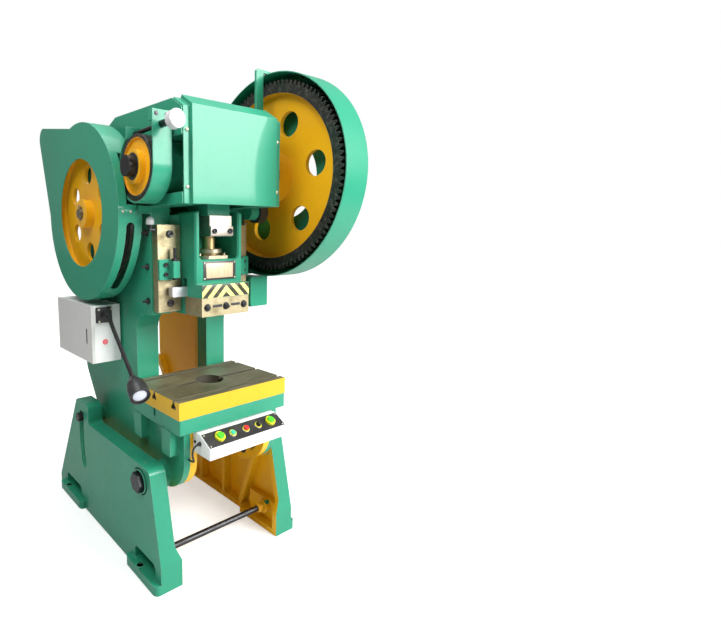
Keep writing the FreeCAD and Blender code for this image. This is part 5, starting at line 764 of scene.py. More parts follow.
class Bench:
    """The modelling bench. All its lengths are millimetres."""

    def clear(self) -> None:
        """Leaves edit mode and lets go of everything."""
        if bpy.context.mode != "OBJECT":
            bpy.ops.object.mode_set(mode="OBJECT")
        bpy.ops.object.select_all(action="DESELECT")

    def hold(self, *pieces: Piece) -> None:
        """Selects pieces and nothing else, the first of them active.

        Args:
            pieces: the pieces.
        """
        self.clear()
        for piece in pieces:
            piece.select_set(True)
        bpy.context.view_layer.objects.active = pieces[0]

    def named(self, name: str) -> Piece:
        """Names the piece that was added last and moves its place into its mesh.

        Args:
            name: its name.

        Returns:
            The piece.
        """
        bpy.context.object.name = name
        bpy.ops.object.transform_apply(location=True)
        return bpy.context.object

    def smooth(self, angle: float) -> None:
        """Shades the piece in hand smooth where its faces meet under an angle."""
        bpy.ops.object.shade_smooth_by_angle(angle=math.radians(angle))

    @contextmanager
    def shaping(self, piece: Piece, action: str = "SELECT") -> Iterator[None]:
        """Opens a piece in edit mode, and closes it with its faces outward.

        Args:
            piece: the piece.
            action: SELECT or DESELECT, for all of it.

        Yields:
            Nothing, while the piece is open.
        """
        self.hold(piece)
        bpy.ops.object.mode_set(mode="EDIT")
        bpy.ops.mesh.select_all(action=action)
        yield
        bpy.ops.mesh.select_all(action="SELECT")
        bpy.ops.mesh.normals_make_consistent(inside=False)
        bpy.ops.object.mode_set(mode="OBJECT")

    def seat(self, piece: Piece, at: Triple, axis: Triple = UP, turn: float = 0) -> Piece:
        """Puts a piece that was made upright at the origin into its place.

        Args:
            piece: the piece.
            at: where its origin goes.
            axis: where its upright points.
            turn: how far it is turned about its upright, in degrees.

        Returns:
            The piece, with its place in its mesh.
        """
        way = Vector(axis).to_track_quat("Z", "Y") if axis != UP else Quaternion()
        way = way @ Quaternion(UP, math.radians(turn))
        piece.matrix_world = Matrix.LocRotScale(Vector(at) * MM, way, None)
        self.hold(piece)
        bpy.ops.object.transform_apply(location=True, rotation=True, scale=True)
        return piece

    def soften(self, piece: Piece, radius: float) -> Piece:
        """Bevels a piece's sharp edges and shades it smooth by angle.

        Args:
            piece: the piece.
            radius: the bevel's radius, nothing for none.

        Returns:
            The piece.
        """
        if radius > 0:
            with self.shaping(piece, "DESELECT"):
                bpy.ops.mesh.select_mode(type="EDGE")
                bpy.ops.mesh.edges_select_sharp(sharpness=math.radians(SHARP_ANGLE))
                bpy.ops.mesh.bevel(offset=radius * MM, segments=2, affect="EDGES")
                bpy.ops.mesh.select_mode(type="VERT")
        self.hold(piece)
        self.smooth(SMOOTH_ANGLE)
        return piece

    def turned(
        self, name: str, profile: Sequence[Pair], at: Triple = ORIGIN, axis: Triple = UP,
        sides: int = 40, turn: float = 0,
    ) -> Piece:
        """Draws a disc up along a profile, as on a lathe, or as a prism with few sides.

        Args:
            name: the piece's name.
            profile: radius and height of each ring, from the foot to the end.
            at: where the profile's origin goes.
            axis: where the profile's upright points.
            sides: how many sides the rings have.
            turn: the turn about the axis in degrees.

        Returns:
            The closed piece in its place.
        """
        self.clear()
        radius, height = profile[0]
        bpy.ops.mesh.primitive_circle_add(
            vertices=sides, radius=radius * MM, fill_type="NGON", location=(0, 0, height * MM)
        )
        piece = self.named(name)
        with self.shaping(piece):
            for wide, high in profile[1:]:
                step = {"value": (0, 0, (high - height) * MM)}
                bpy.ops.mesh.extrude_region_move(TRANSFORM_OT_translate=step)
                grow, pivot = wide / radius, (0, 0, high * MM)
                bpy.ops.transform.resize(value=(grow, grow, 1), center_override=pivot)
                radius, height = wide, high
        self.smooth(SHARP_ANGLE)
        return self.seat(piece, at, axis, turn)

    def block(self, name: str, low: Triple, high: Triple, soft: float) -> Piece:
        """Makes a block between two corners.

        Args:
            name: the piece's name.
            low: its lower left front corner.
            high: its upper right back corner.
            soft: the radius of its edges.

        Returns:
            The block.
        """
        self.clear()
        middle = (Vector(low) + Vector(high)) / 2 * MM
        bpy.ops.mesh.primitive_cube_add(size=1, location=middle)
        piece = self.named(name)
        with self.shaping(piece):
            size = (Vector(high) - Vector(low)) * MM
            bpy.ops.transform.resize(value=size, center_override=middle)
        return self.soften(piece, soft)

    def cut(self, piece: Piece, tool: Piece) -> Piece:
        """Takes a tool's shape out of a piece.

        Args:
            piece: the piece.
            tool: what is taken out, which is used up.

        Returns:
            The piece.
        """
        modifier = piece.modifiers.new("Cut", "BOOLEAN")
        modifier.object = tool
        modifier.operation = "DIFFERENCE"
        self.hold(piece)
        bpy.ops.object.modifier_apply(modifier=modifier.name)
        bpy.data.objects.remove(tool)
        return piece

    def join(self, name: str, *pieces: Piece) -> Piece:
        """Makes one piece of several.

        Args:
            name: the piece's name.
            pieces: what it is made of, which the first takes in.

        Returns:
            The piece.
        """
        self.hold(*pieces)
        bpy.ops.object.join()
        pieces[0].name = name
        return pieces[0]

    def copies(self, name: str, pattern: Piece, places: Sequence[Triple], axis: Triple) -> Piece:
        """Copies a pattern to each place, each copy turned a little further.

        Args:
            name: the name of all the copies together.
            pattern: the pattern, upright at the origin, which is used up.
            places: where the copies go.
            axis: where their upright points.

        Returns:
            The copies as one piece.
        """
        made = []
        for count, at in enumerate(places):
            self.hold(pattern)
            bpy.ops.object.duplicate()
            made.append(self.seat(bpy.context.object, at, axis, COPY_TURN * count))
        bpy.data.objects.remove(pattern)
        return self.join(name, *made)

    def screw(self, head: Head, radius: float, high: float) -> Piece:
        """Makes one screw head that stands on the origin.

        Args:
            head: the kind of head.
            radius: the head's radius.
            high: the head's height.

        Returns:
            The head, upright at the origin.
        """
        if head is Head.HEX:
            foot = [(radius * 1.18, -0.5), (radius * 1.22, 0.2), (radius * 1.18, high * 0.16)]
            washer = self.turned("washer", foot, sides=28)
            prism = [(radius, 0), (radius, high * 0.86), (radius * 0.9, high)]
            nut = self.turned("nut", prism, sides=6)
            end = [(radius * 0.52, 0), (radius * 0.52, high * 1.25), (radius * 0.44, high * 1.35)]
            return self.join("screw", nut, washer, self.turned("stub", end, sides=20))
        if head is Head.DOMED:
            rings = [(radius * c, high * s) for c, s in circle(range(0, 90, 15))]
            dome = [(radius, -0.5), *rings, (radius * 0.04, high)]
            return self.turned("screw", dome, sides=24)
        barrel = [(radius, -0.5), (radius, high * 0.82), (radius * 0.88, high)]
        body = self.turned("screw", barrel, sides=28)
        if head is Head.SOCKET:
            hole = [(radius * 0.52, high * 0.35), (radius * 0.52, high + 1)]
            return self.cut(body, self.turned("tool", hole, sides=6))
        long, wide = radius * 1.2, radius * 0.12
        tool = self.block("tool", (-long, -wide, high * 0.55), (long, wide, high + 1), 0)
        return self.cut(body, tool)

    def threaded(self, radius: float, long: float, at: Triple, axis: Triple) -> Piece:
        """Makes a threaded stud as rings of thread between plain ends.

        Args:
            radius: the thread's radius.
            long: the stud's length.
            at: where it starts.
            axis: where it points.

        Returns:
            The stud in its place.
        """
        rings: list[Pair] = [(radius * 0.82, 0)]
        height = THREAD_PITCH / 2
        while height < long - THREAD_PITCH:
            for wide, step in ((1, 0.2), (1, 0.35), (0.84, 0.8)):
                rings.append((radius * wide, height + THREAD_PITCH * step))
            height += THREAD_PITCH
        return self.turned("stud", rings + [(radius * 0.7, long)], at, axis, 20)

    def line(self, name: str, path: Sequence[Triple], radius: float = 0, fine: int = 4) -> Piece:
        """Draws a smooth open line by its control points, bare or as a round cord.

        Args:
            name: the line's name.
            path: its control points.
            radius: the cord's radius, nothing for a bare line.
            fine: how finely the cord is rounded.

        Returns:
            The line as a curve.
        """
        data = bpy.data.curves.new(name, "CURVE")
        data.dimensions = "3D"
        data.resolution_u = 10
        data.bevel_depth = radius * MM
        data.bevel_resolution = fine
        data.use_fill_caps = True
        spline = data.splines.new("NURBS")
        spline.points.add(len(path) - 1)
        for point, place in zip(spline.points, path):
            point.co = (*(Vector(place) * MM), 1)
        spline.order_u = 3
        spline.use_endpoint_u = True
        piece = bpy.data.objects.new(name, data)
        bpy.context.collection.objects.link(piece)
        return piece


# -------------------------------------------------------------- sub-assemblies
@dataclass
class SubAssembly(Bench):
    """A group of pieces that belong together, and the bench that they are made on.

    Attributes:
        rack: where its finishes come from.
    """

    rack: Rack

    def fit(
        self, piece: Piece, slot: Slot = Slot.DARK_STEEL, body: str = "frame",
        finish: Optional[Finish] = None,
    ) -> Piece:
        """Dresses a finished piece, sets it on its body and reports it.

        Args:
            piece: the piece, in its place.
            slot: the record's slot that it takes its finish from.
            body: the body that carries it.
            finish: its own finish, where it isn't the slot's.

        Returns:
            The piece.
        """
        self.rack.dress(piece.data, finish or FINISHES[slot])
        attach(piece, body)
        log.info("%s: %s on %s", type(self).__name__, piece.name, body)
        return piece

    def fasten(
        self, name: str, head: Head, radius: float, high: float, places: Sequence[Triple],
        axis: Triple = FRONT, slot: Slot = Slot.DARK_STEEL, body: str = "frame",
    ) -> Piece:
        """Fits one screw head to each place.

        Args:
            name: the name of all the heads together.
            head: the kind of head.
            radius: the heads' radius.
            high: their height.
            places: where they stand.
            axis: where they point.
            slot: the record's slot that they take their finish from.
            body: the body that carries them.

        Returns:
            The heads as one piece.
        """
        heads = self.copies(name, self.screw(head, radius, high), places, axis)
        return self.fit(heads, slot, body)

    def spring(self, name: str, turns: int, wire: float, place: Callable[..., Triple]) -> Piece:
        """Winds a spring and fits it.

        Args:
            name: the piece's name.
            turns: how many turns it has.
            wire: the wire's radius.
            place: gives a point from a turn's cosine and sine and the count of steps.

        Returns:
            The spring as a mesh, its ends closed.
        """
        angles = [COIL_STEP * step for step in range(COIL_STEPS * turns + 1)]
        path = [place(c, s, step) for step, (c, s) in enumerate(circle(angles))]
        self.hold(self.line(name, path, wire, 1))
        bpy.ops.object.convert(target="MESH")
        piece = bpy.context.object
        with self.shaping(piece):
            bpy.ops.mesh.remove_doubles(threshold=WELD)
        self.smooth(SMOOTH_ANGLE)
        return self.fit(piece)

    def build(self) -> None:
        """Makes the pieces."""
        raise NotImplementedError


@dataclass
class Stand(SubAssembly):
    """The ironwork on the two legs."""

    rod: Pair = (-445, 93)
    nut: float = 23
    nut_x: float = 275.8
    lock_x: float = 255
    pivot: Pair = (-405, 408)
    pivot_x: float = 358.8
    bolt_x: float = 367
    bolt_y: float = 402
    foot_top: float = 40

    def build(self) -> None:
        """Makes the tie rod's nuts, the pivots' rims and the rings round the floor bolts."""
        for side, name, _ in SIDES:
            nuts = [
                self.turned(
                    "nut", [(self.nut, 0), (self.nut, high), (self.nut * 0.88, high + 3)],
                    (side * x, *self.rod), (-side, 0, 0), 6, turn,
                )
                for x, high, turn in ((self.nut_x, 16, 20 * side), (self.lock_x, 9, 11))
            ]
            self.fit(self.join("tie_rod_nuts_" + name, *nuts), Slot.YELLOW, "stand")
        profile = [(50, 0), (50, 4), (48, 6), (45, 6), (42, 2)]
        for side, name, out in SIDES:
            at = (side * self.pivot_x, *self.pivot)
            rim = self.turned("pivot_rim_" + name, profile, at, out, 48)
            hole = self.turned("tool", [(41.5, -4), (41.5, 8)], at, out, 48)
            self.fit(self.cut(rim, hole), Slot.TEAL, "stand")
        profile = [(20, -0.5), (20, 3), (18.5, 4), (14, 4), (14, -0.5)]
        ring = self.turned("ring", profile, sides=36)
        places = both(self.bolt_x, (-self.bolt_y, self.foot_top), (self.bolt_y, self.foot_top))
        self.fit(self.copies("foot_bosses", ring, places, UP), Slot.TEAL, "stand")


@dataclass
class Ways(SubAssembly):
    """What is screwed to the gibs and round the ram's ways."""

    gib_front: float = -370
    gib_bolt_x: float = 178
    gib_bolts_z: Sequence[float] = (1115, 1396)
    cheek_x: float = 244
    screw_y: float = -305
    screws_z: Sequence[float] = (1121, 1263, 1401)
    bracket_bolts: Sequence[Pair] = ((-382, 1234), (-382, 1273))
    bracket_x: float = 206
    stop: Pair = (171, -398)
    stop_foot: float = 1212
    stop_nut: float = 1287.2

    def build(self) -> None:
        """Makes the gib screws, the side screws, the bracket bolts and the stop screws."""
        heads = both(self.gib_bolt_x, *((self.gib_front, z) for z in self.gib_bolts_z))
        self.fasten("gib_screws", Head.SLOTTED, 15, 9, heads)
        for side, name, out in SIDES:
            places = [(side * self.cheek_x, self.screw_y, z) for z in self.screws_z]
            nuts = self.copies("nuts", self.screw(Head.HEX, 12, 9), places, out)
            studs = [self.threaded(6, 25, (x + side * 2, y, z), out) for x, y, z in places]
            self.fit(self.join("gib_clamp_screws_" + name, nuts, *studs))
        places = both(self.bracket_x, *self.bracket_bolts)
        self.fasten("bracket_bolts", Head.SOCKET, 9, 9, places)
        for side, name, _ in SIDES:
            x, y = side * self.stop[0], self.stop[1]
            at = (x, y, self.stop_foot)
            stud = self.threaded(7, 130, at, UP)
            foot = self.turned("foot", [(10.5, 0), (10.5, 4.5), (9, 6.5)], at, UP, 24)
            prism = [(13.5, 0), (13.5, 10), (12, 11.5)]
            nut = self.turned("nut", prism, (x, y, self.stop_nut), UP, 6, 15)
            self.fit(self.join("stop_screw_" + name, stud, foot, nut))


@dataclass
class RamFace(SubAssembly):
    """The ram's front: its plates, its clamp and the screws in its window."""

    face: float = -515
    band_half: float = 121
    band_low: float = 1142
    band_high: float = 1192.5
    plate_half: float = 84
    plate_low: float = 1208
    plate_high: float = 1284
    plate_y: float = -471.9
    plate_thick: float = 1.6
    clamp_z: float = 1103
    collar: Triple = (0, -395, 1313.8)

    def build(self) -> None:
        """Makes the striped band, the bare plate with its screws, and what the clamps carry."""
        half, low, high = self.band_half, self.band_low, self.band_high
        band = self.block("striped_band", (-half, low, 0), (half, high, 0.6), 0.2)
        self.seat(band, (0, self.face + 0.1, 0), FRONT)
        stripes = Stripes("StripedBand", (0.87, 0.83, 0.25), self.band_low)
        self.fit(band, Slot.BRIGHT_YELLOW, "slide", stripes)
        half, low, high = self.plate_half, self.plate_low, self.plate_high
        sheet = self.block("bare_plate", (-half, low, 0), (half, high, self.plate_thick), 0.5)
        self.seat(sheet, (0, self.plate_y, 0), FRONT)
        middle = (low + high) / 2
        field = (half - 15, middle - low - 8)
        pale = NamePlate("BarePlate", (0.62, 0.46, 0.28), (0, middle), field)
        self.fit(sheet, Slot.STEEL, "slide", pale)
        front = self.plate_y - self.plate_thick - 0.1
        corners = [(x, front, z) for x in (6 - half, half - 6) for z in (low + 6, high - 6)]
        self.fasten("plate_screws", Head.DOMED, 4, 2, corners, FRONT, Slot.STEEL, "slide")
        self.clamp()
        self.rod_front()

    def clamp(self) -> None:
        """Makes the shank clamp's nuts and studs, and near-black sheets between them as painted
        shade for the recesses.
        """
        studs = ((-95, 15), (0, 22), (95, 15))
        places = [(x, -513, self.clamp_z) for x, _ in studs]
        pieces = [self.copies("nuts", self.screw(Head.HEX, 13, 9), places, FRONT)]
        for x, long in studs:
            pieces.append(self.threaded(7, long, (x, -512, self.clamp_z), FRONT))
        self.fit(self.join("clamp_nuts", *pieces), Slot.DARK_STEEL, "slide")
        # Thin near-black sheets on the clamp's face stand in for recesses: painted shade, not a
        # real part.
        slots = [
            self.block("slot", (x - 24, -513.4, 1101), (x + 24, -512.6, 1112), 0.2)
            for x in (-44, 50)
        ]
        self.fit(self.join("clamp_recess_shade", *slots), Slot.CAST_IRON, "slide")

    def rod_front(self) -> None:
        """Makes the rod clamp's lower band and bolts, the collar and the cap's screws."""
        band = self.block("rod_clamp_band", (-58, -490, 1387), (58, -479.8, 1425), 2.5)
        self.fit(band, Slot.STEEL, "rod", CLAMP_STEEL)
        places = [(x, -490, 1406) for x in (-40, 40)]
        self.fasten("rod_clamp_bolts", Head.SOCKET, 11, 7, places, body="rod")
        rings = [(54, 0), (56, 2), (56, 17), (53, 20), (44, 21), (40, 21)]
        collar = self.turned("screw_collar", rings, self.collar, UP, 48)
        hole = self.turned("tool", [(41, -2), (41, 24)], self.collar, UP, 48)
        self.fit(self.cut(collar, hole), Slot.STEEL, "slide", TURNED_CAP)
        places = [(66 * c, 66 * s - 395, 1314) for c, s in circle((20, 160, 200, 340))]
        self.fasten("cap_screws", Head.SOCKET, 7.6, 1.4, places, UP, body="slide")


@dataclass
class HeadFront(SubAssembly):
    """The folded cover's screws and the oil cup."""

    cover_x: float = 223.5
    cover_screws: Sequence[Pair] = ((-571, 1563), (-571, 1763))
    cup: Pair = (-264, -365)

    def build(self) -> None:
        """Makes the cover's screws, and the oil cup on its stem beside the left way."""
        places = both(self.cover_x, *self.cover_screws)
        self.fasten("cover_screws", Head.DOMED, 8, 5, places, slot=Slot.STEEL)
        rings = [(7, 0), (7, 14), (12, 15), (12, 22), (8, 24), (8, 27)]
        stem = self.turned("oil_stem", rings, (*self.cup, 1408), UP, 24)
        rings = [(7, 0), (7, 24), (5, 25)]
        elbow = self.turned("elbow", rings, (-244, self.cup[1], 1413), LEFT, 24)
        self.fit(self.join("oil_stem", stem, elbow))
        rings = [(10, 27), (15.5, 29), (16.5, 34), (16, 44), (13.5, 52), (9, 57)]
        rings += [(3, 59.5), (0.6, 60)]
        cup = self.turned("oil_cup", rings, (*self.cup, 1405), UP, 32)
        self.fit(cup, Slot.WHITE_PLASTIC)


@dataclass
class FlywheelSide(SubAssembly):
    """What is fixed to the flywheel, its guard and its shaft's end."""

    guard_rim_x: float = -383
    guard_r: float = 388
    rivet_r: float = 372
    seam_x: float = -331.5
    seam_angle: float = 181

    def build(self) -> None:
        """Makes the guard's seam strip with its screws, its rivets and the shaft's key."""
        y, z = SECOND_AXIS
        ((c, s),) = circle((self.seam_angle,))
        at = (self.seam_x, y + (self.guard_r - 0.4) * c, z + (self.guard_r - 0.4) * s)
        out = (0, c, s)
        strip = self.block("seam_strip", (-49, -9, 0), (49, 9, 2.6), 0.8)
        self.fit(self.seat(strip, at, out), Slot.TEAL)
        places = [(at[0] + dx, at[1] + 2.2 * out[1], at[2]) for dx in (-34, 0, 34)]
        self.fasten("seam_screws", Head.DOMED, 6, 3.5, places, out, Slot.STEEL)
        rim = circle((150, 205, 245, 290, 335))
        places = [(self.guard_rim_x, y + self.rivet_r * c, z + self.rivet_r * s) for c, s in rim]
        self.fasten("guard_rivets", Head.DOMED, 5, 2, places, LEFT, Slot.TEAL)
        low, high = (-389, y - 5, z + 26), (-379, y + 5, z + 36.5)
        self.fit(self.block("flywheel_key", low, high, 0.8), Slot.STEEL, "second_shaft")


@dataclass
class Brake(SubAssembly):
    """The band brake's small ironwork."""

    x: float = -302
    rod_z: float = 1779
    coil: float = 11.5

    def build(self) -> None:
        """Makes the strap's bolts, the rod's spring and the nut that presses it."""
        places = [(self.x + dx, -523, 1813) for dx in (-22, 22)]
        self.fasten("strap_bolts", Head.HEX, 9.5, 8, places)
        x, z, coil = self.x, self.rod_z, self.coil
        self.spring(
            "brake_spring", 9, 1.6, lambda c, s, n: (x + coil * c, -536 - n * 0.25, z + coil * s)
        )
        self.fasten("spring_nut", Head.HEX, 14, 11, [(self.x, -574, self.rod_z)])


@dataclass
class GearSide(SubAssembly):
    """What is fixed to the trip gear on the gear's side."""

    rod: Pair = (265, -320)
    coil: float = 12.5
    stub: Triple = (300.4, -395, 1490)

    def build(self) -> None:
        """Makes the trip's spring, the lever's nut and the trip box's lid with its screws."""
        (x, y), coil = self.rod, self.coil
        self.spring(
            "trip_spring", 11, 1.7, lambda c, s, n: (x + coil * c, y + coil * s, 1243.5 + n * 0.42)
        )
        rings = [(22, 0), (22, 3), (20, 4)]
        washer = self.turned("washer", rings, self.stub, RIGHT, 32)
        nut = self.turned("nut", [(15, 4), (15, 10), (13.5, 11.5)], self.stub, RIGHT, 6)
        self.fit(self.join("lever_stub_nut", washer, nut))
        corners = [(348, y, z) for y in (-380, -260) for z in (1072, 1188)]
        self.fasten("trip_box_screws", Head.SLOTTED, 6, 3, corners, RIGHT, Slot.STEEL)
        lid = self.block("trip_box_lid", (-58, -56, 0), (58, 56, 2), 0.8)
        self.fit(self.seat(lid, (347.8, -320, 1130), RIGHT), Slot.TEAL)


@dataclass
class Motor(SubAssembly):
    """The drive motor's fittings."""

    y: float = 410
    z: float = 1786
    end_x: float = 35
    radius: float = 105

    def build(self) -> None:
        """Makes the cowl's grille, the terminal box's lid and gland, and the eye bolt."""
        disc = [(88, -1), (88, 0), (84, 0), (30, 0)]
        at = (self.end_x - 1.2, self.y, self.z)
        grille = self.turned("cowl_grille", disc, at, RIGHT, 48)
        at = (self.end_x - 3, self.y, self.z)
        for inner in (34, 46, 58, 70):
            outer = inner + 7
            tool = self.turned("tool", [(outer, -1), (outer, 4)], at, RIGHT, 48)
            core = self.turned("core", [(inner, -2), (inner, 6)], at, RIGHT, 48)
            grille = self.cut(grille, self.cut(tool, core))
        self.fit(grille, Slot.BLACK_PLASTIC)
        lid = self.block("terminal_lid", (-178, 357, 1933), (-72, 463, 1935), 0.6)
        self.fit(lid, Slot.TEAL)
        rings = [(14, -1), (14, 6), (11, 8), (11, 16), (7, 18)]
        gland = self.turned("motor_gland", rings, (-125, 357.2, 1912), FRONT, 24)
        self.fit(gland, Slot.BLACK_PLASTIC)
        top = (10, self.y, self.z + self.radius)
        at = (10, self.y, top[2] + 18)
        rings = [(9, -4), (14, -1.5), (14, 1.5), (9, 4)]
        eye = self.turned("motor_eye_bolt", rings, at, RIGHT, 32)
        eye = self.cut(eye, self.turned("tool", [(8, -6), (8, 6)], at, RIGHT, 24))
        stem = self.turned("stem", [(9, -1), (9, 4), (5.5, 5), (5.5, 9)], top, UP, 24)
        self.fit(self.join("motor_eye_bolt", eye, stem))


@dataclass
class Cabinet(SubAssembly):
    """The control cabinet's ironwork and the switchgear in it."""

    hinge: Pair = (-385, 365)
    hinges_z: Sequence[float] = (880, 1025)
    contactors: int = 4
    terminals: int = 22

    def build(self) -> None:
        """Makes the hinges' knuckles, the lock and what is mounted inside."""
        upper = [(4.6, 5), (4, 5.5), (4.6, 6), (4.6, 17), (4, 18)]
        lower = [(wide, -high) for wide, high in reversed(upper)]
        for z in self.hinges_z:
            knuckle = self.turned("hinge", lower + upper, (*self.hinge, z), UP, 20)
            self.fit(knuckle, Slot.STEEL, "door")
        lock = self.block("lock_bar", (-389.5, 4, 908), (-386, 14, 972), 1)
        self.fit(lock, Slot.BLACK_PLASTIC, "door")
        back = self.block("mounting_plate", (-258, -30, 845), (-255.2, 350, 1060), 0.4)
        self.fit(back, Slot.STEEL)
        self.switchgear()

    def switchgear(self) -> None:
        """Makes a row of contactors and a row of terminals on the mounting plate."""
        makes = []
        for y in (20 + 62 * count for count in range(self.contactors)):
            base = self.block("contactor", (-320, y, 960), (-258, y + 48, 1030), 2)
            nose = self.block("nose", (-336, y + 8, 974), (-318, y + 40, 1016), 2)
            makes.append(self.join("contactor", base, nose))
        self.fit(self.join("contactors", *makes), Slot.BLACK_PLASTIC)
        rail = self.block("rail", (-264, 0, 884), (-258, 330, 900), 0.5)
        self.fit(rail, Slot.STEEL)
        blocks = [
            self.block("terminal", (-300, y, 868), (-262, y + 11, 916), 1.5)
            for y in (10 + 13 * count for count in range(self.terminals))
        ]
        self.fit(self.join("terminals", *blocks), Slot.WHITE_PLASTIC)


@dataclass
class WorkLamp(SubAssembly):
    """The work lamp's foot screws, its ribbed arm and its bell's fittings."""

    mouth: Triple = (-392, -430, 850)
    way: Triple = (-0.1531, -0.8565, -0.4931)
    rib: float = 3

    def build(self) -> None:
        """Makes the foot's screws, the arm, and the bell's rim, lens and collar."""
        corners = [(x, -72.2, z) for x in (-363, -303) for z in (1013, 1067)]
        self.fasten("lamp_foot_screws", Head.DOMED, 5.5, 3, corners, slot=Slot.STEEL)
        self.arm()
        rings = [(35, 92.4), (35, 94.6), (33, 95.6), (27, 93.4), (27, 92.6)]
        rim = self.turned("lamp_rim", rings, self.mouth, self.way)
        self.fit(rim, Slot.BLACK_PLASTIC)
        rings = [(26.6, 92.7), (26.6, 94), (22, 96), (12, 97.6), (1, 98.2)]
        lens = self.turned("lamp_lens", rings, self.mouth, self.way)
        glass = Lamplight("LampGlass", (0.55, 0.57, 0.66), 0.28)
        self.fit(lens, Slot.WHITE_PLASTIC, finish=glass)
        rings = [(14, -1), (17, 2), (17, 8), (15, 9), (19.5, 12), (21, 14), (21, 15)]
        collar = self.turned("lamp_collar", rings, self.mouth, self.way, 32)
        self.fit(collar, Slot.BLACK_PLASTIC)

    def arm(self) -> None:
        """Makes the ribbed arm: one rib, repeated and bent along the arm's line."""
        path = [
            (-333, -72, 1040), (-333, -94, 1040), (-336.5, -122, 1029),
            (-345, -167, 1001.4), (-360, -251, 953), (-376, -341, 901.4), self.mouth,
        ]
        line = self.line("arm_line", path)
        length = sum((Vector(b) - Vector(a)).length for a, b in zip(path, path[1:]))
        rings = [(7.2, 0), (7.2, 0.4), (8.8, 1.2), (8.8, 2.2), (7.2, self.rib)]
        arm = self.turned("work_lamp_gooseneck", rings, ORIGIN, RIGHT, 16)
        array = arm.modifiers.new("Ribs", "ARRAY")
        array.fit_type = "FIXED_COUNT"
        array.count = int(length / self.rib)
        array.use_relative_offset = False
        array.use_constant_offset = True
        array.constant_offset_displace = (self.rib * MM, 0, 0)
        bend = arm.modifiers.new("Line", "CURVE")
        bend.object = line
        bend.deform_axis = "POS_X"
        self.hold(arm)
        for modifier in ("Ribs", "Line"):
            bpy.ops.object.modifier_apply(modifier=modifier)
        bpy.data.objects.remove(line)
        self.smooth(50)
        self.fit(arm)
        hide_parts("work_lamp_arm")


@dataclass
class Panel(SubAssembly):
    """The two-hand control panel: its screws and its cable."""

    middle: Pair = (-633, 611.5)
    normal: Triple = (0, -0.5005, 0.8657)
    over: float = 2
    screw_at: Pair = (189, 27)
    rings_x: Sequence[float] = (-64, 4, 70)
    cable_radius: float = 4
    cable_length: float = 0.136

    def on_face(self, x: float, along: float) -> Triple:
        """A point of the slanting face.

        Args:
            x: its place across.
            along: its place up the slope from the face's middle.

        Returns:
            The point in the press's own frame.
        """
        _, lean, rise = self.normal
        y, z = self.middle
        return (x, y + rise * along + lean * self.over, z - lean * along + rise * self.over)

    def build(self) -> None:
        """Makes the cable, the face's screws, the buttons' rings, the gland and the end's screw."""
        self.cable()
        x, along = self.screw_at
        corners = [self.on_face(dx, da) for dx in (-x, x) for da in (-along, along)]
        self.fasten("panel_screws", Head.DOMED, 3.6, 1.8, corners, self.normal, Slot.STEEL)
        ring = [(15.5, 0), (15.5, 1.2), (14.6, 2), (11.4, 2), (11.4, 0)]
        rings = [
            self.turned("ring", ring, self.on_face(x, 0), self.normal, 32) for x in self.rings_x
        ]
        self.fit(self.join("button_rings", *rings), Slot.STEEL)
        rings = [(8.6, 0), (8.6, 4), (7.6, 5.5), (6.6, 10), (5.6, 13)]
        gland = self.turned("cable_gland", rings, (-200, -602, 594), LEFT, 24)
        self.fit(gland, Slot.BLACK_PLASTIC)
        places = [(-200, -570, 592)]
        self.fasten("panel_end_screw", Head.SOCKET, 6, 4, places, LEFT)

    def cable(self) -> None:
        """Lays the cable from the panel's end in a short loop back into the body."""
        path = [
            (-198, -602, 594), (-229, -602, 594), (-238, -600, 556),
            (-221, -596, 517), (-221, -555.2, 517),
        ]
        lead = self.fit(self.line("panel_lead", path, self.cable_radius), Slot.CABLE)
        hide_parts("panel_cable")


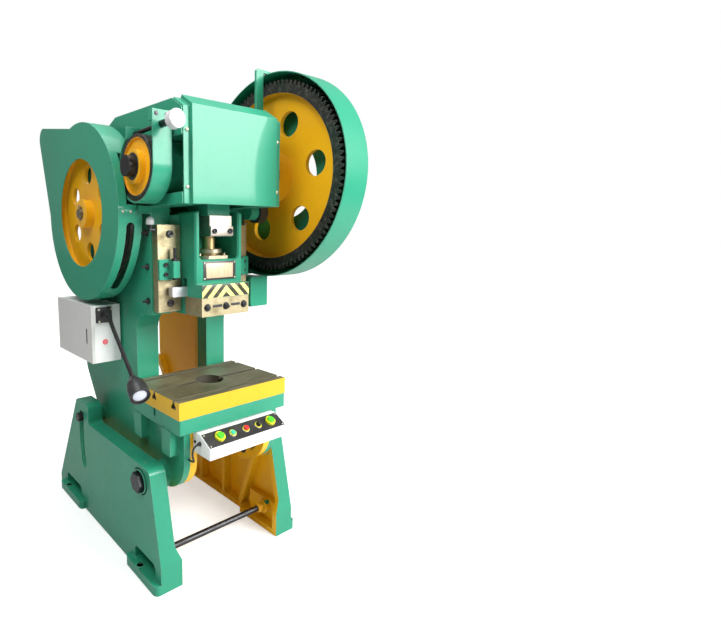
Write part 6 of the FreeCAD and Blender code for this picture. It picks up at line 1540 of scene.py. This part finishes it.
# --------------------------------------------------------------------- studio
@dataclass
class Studio(Bench):
    """The floor, the light and the camera.

    Attributes:
        eye: the camera's place in metres.
        yaw: from straight back towards the right, in degrees.
        pitch: above the level, in degrees.
        roll: the camera's lean, in degrees.
        focus: the focal length, in pixels.
        width: the picture's width, in pixels.
        height: the picture's height, in pixels.
        centre: the pixel straight ahead of the camera.
        fill: how strongly the surround lights the press.
        floor_size: the floor's side in metres.
        floor_drop: how far it lies under the feet, in metres.
    """

    eye: Triple = (-1.2194, -2.0253, 1.3855)
    yaw: float = 35.74
    pitch: float = -7.58
    roll: float = -0.49
    focus: float = 478.25
    width: float = 721
    height: float = 629
    centre: Pair = (200, 300)
    fill: float = 0.08
    floor_size: float = 80
    floor_drop: float = 0.0005

    def build(self) -> None:
        """Makes the camera, the floor, the world and the lamps."""
        self.camera()
        self.floor()
        self.world()
        self.lamp("KeyLight", (2.3, -4.6, 3.3), (0, -0.3, 1), 3, 490)
        self.lamp("TopLight", (-0.2, 0.4, 5.2), (0, 0, 1), 3.4, 150)
        self.lamp("WheelLight", (-1.6, -1.2, 3.2), (0.3, -0.4, 1.6), 1.4, 44)

    def floor(self) -> None:
        """Makes the pale floor, which shows white to the camera and keeps the shadow."""
        self.clear()
        bpy.ops.mesh.primitive_plane_add(size=self.floor_size, location=(0, 0, -self.floor_drop))
        plane = bpy.context.object
        plane.name = "studio_floor"
        with self.shaping(plane):
            bpy.ops.mesh.subdivide(number_cuts=4)
        shade = Shade("StudioFloor")
        away = (shade.x * shade.x + shade.y * shade.y) ** 0.5
        level = shade.seen(0.05) * (away.rise(1.4, 5) * 0.52 + 0.48)
        material = shade.fill(
            Base_Color=shade.mix(shade.noise(0.8, 2), (0.8, 0.8, 0.8), (0.84, 0.84, 0.84)),
            Roughness=0.9,
            Emission_Color=shade.mix(level, (0, 0, 0), (1, 1, 1)),
            Emission_Strength=1,
        )
        plane.data.materials.append(material)

    def world(self) -> None:
        """Makes the white surround and its soft light."""
        world = bpy.data.worlds.new("StudioWorld")
        bpy.context.scene.world = world
        world.use_nodes = True
        nodes = Nodes(world.node_tree)
        strength = nodes.seen(0.32) * (1 - self.fill) + self.fill
        inputs = {"Color": (1, 1, 1), "Strength": strength}
        sky = nodes.node("ShaderNodeBackground", inputs)
        nodes.node("ShaderNodeOutputWorld", {"Surface": sky.outputs[0]})

    def lamp(self, name: str, at: Triple, aim: Triple, size: float, power: float) -> None:
        """Hangs one soft lamp.

        Args:
            name: the lamp's name.
            at: its place in metres.
            aim: the point that it faces.
            size: its side in metres.
            power: its power in watts.
        """
        light = bpy.data.lights.new(name, "AREA")
        light.shape = "SQUARE"
        light.size = size
        light.energy = power
        holder = bpy.data.objects.new(name, light)
        bpy.context.collection.objects.link(holder)
        holder.location = at
        holder.rotation_euler = (Vector(at) - Vector(aim)).to_track_quat("Z", "Y").to_euler()

    def camera(self) -> None:
        """Sets the camera at the photograph's place and angle."""
        yaw, pitch, roll = (math.radians(angle) for angle in (self.yaw, self.pitch, self.roll))
        level = math.cos(pitch)
        ahead = Vector((math.sin(yaw) * level, math.cos(yaw) * level, math.sin(pitch)))
        right = Vector((math.cos(yaw), -math.sin(yaw), 0))
        leaned = right * math.cos(roll) + right.cross(ahead) * math.sin(roll)
        data = bpy.data.cameras.new("PhotoCamera")
        data.sensor_width = SENSOR_WIDTH
        data.lens = self.focus / self.width * SENSOR_WIDTH
        data.shift_x = (self.width / 2 - self.centre[0]) / self.width
        data.shift_y = (self.centre[1] - self.height / 2) / self.width
        holder = bpy.data.objects.new("PhotoCamera", data)
        bpy.context.collection.objects.link(holder)
        turn = Matrix((leaned, leaned.cross(ahead), -ahead)).transposed()
        holder.matrix_world = Matrix.Translation(self.eye) @ turn.to_4x4()
        bpy.context.scene.camera = holder
        bpy.context.scene.view_settings.view_transform = "Standard"


MAKERS = (
    Panel, Stand, Ways, RamFace, HeadFront, FlywheelSide, Brake, GearSide, Motor, Cabinet, WorkLamp
)


def main() -> None:
    """Builds the studio, dresses the nodes and makes every sub-assembly."""
    logging.basicConfig(level=logging.INFO, format="%(message)s")
    rack = Rack()
    studio = Studio()
    studio.build()
    rack.dress_nodes()
    for maker in MAKERS:
        log.info("building %s", maker.__name__)
        maker(rack).build()
    studio.clear()


if __name__ == "__main__":
    main()
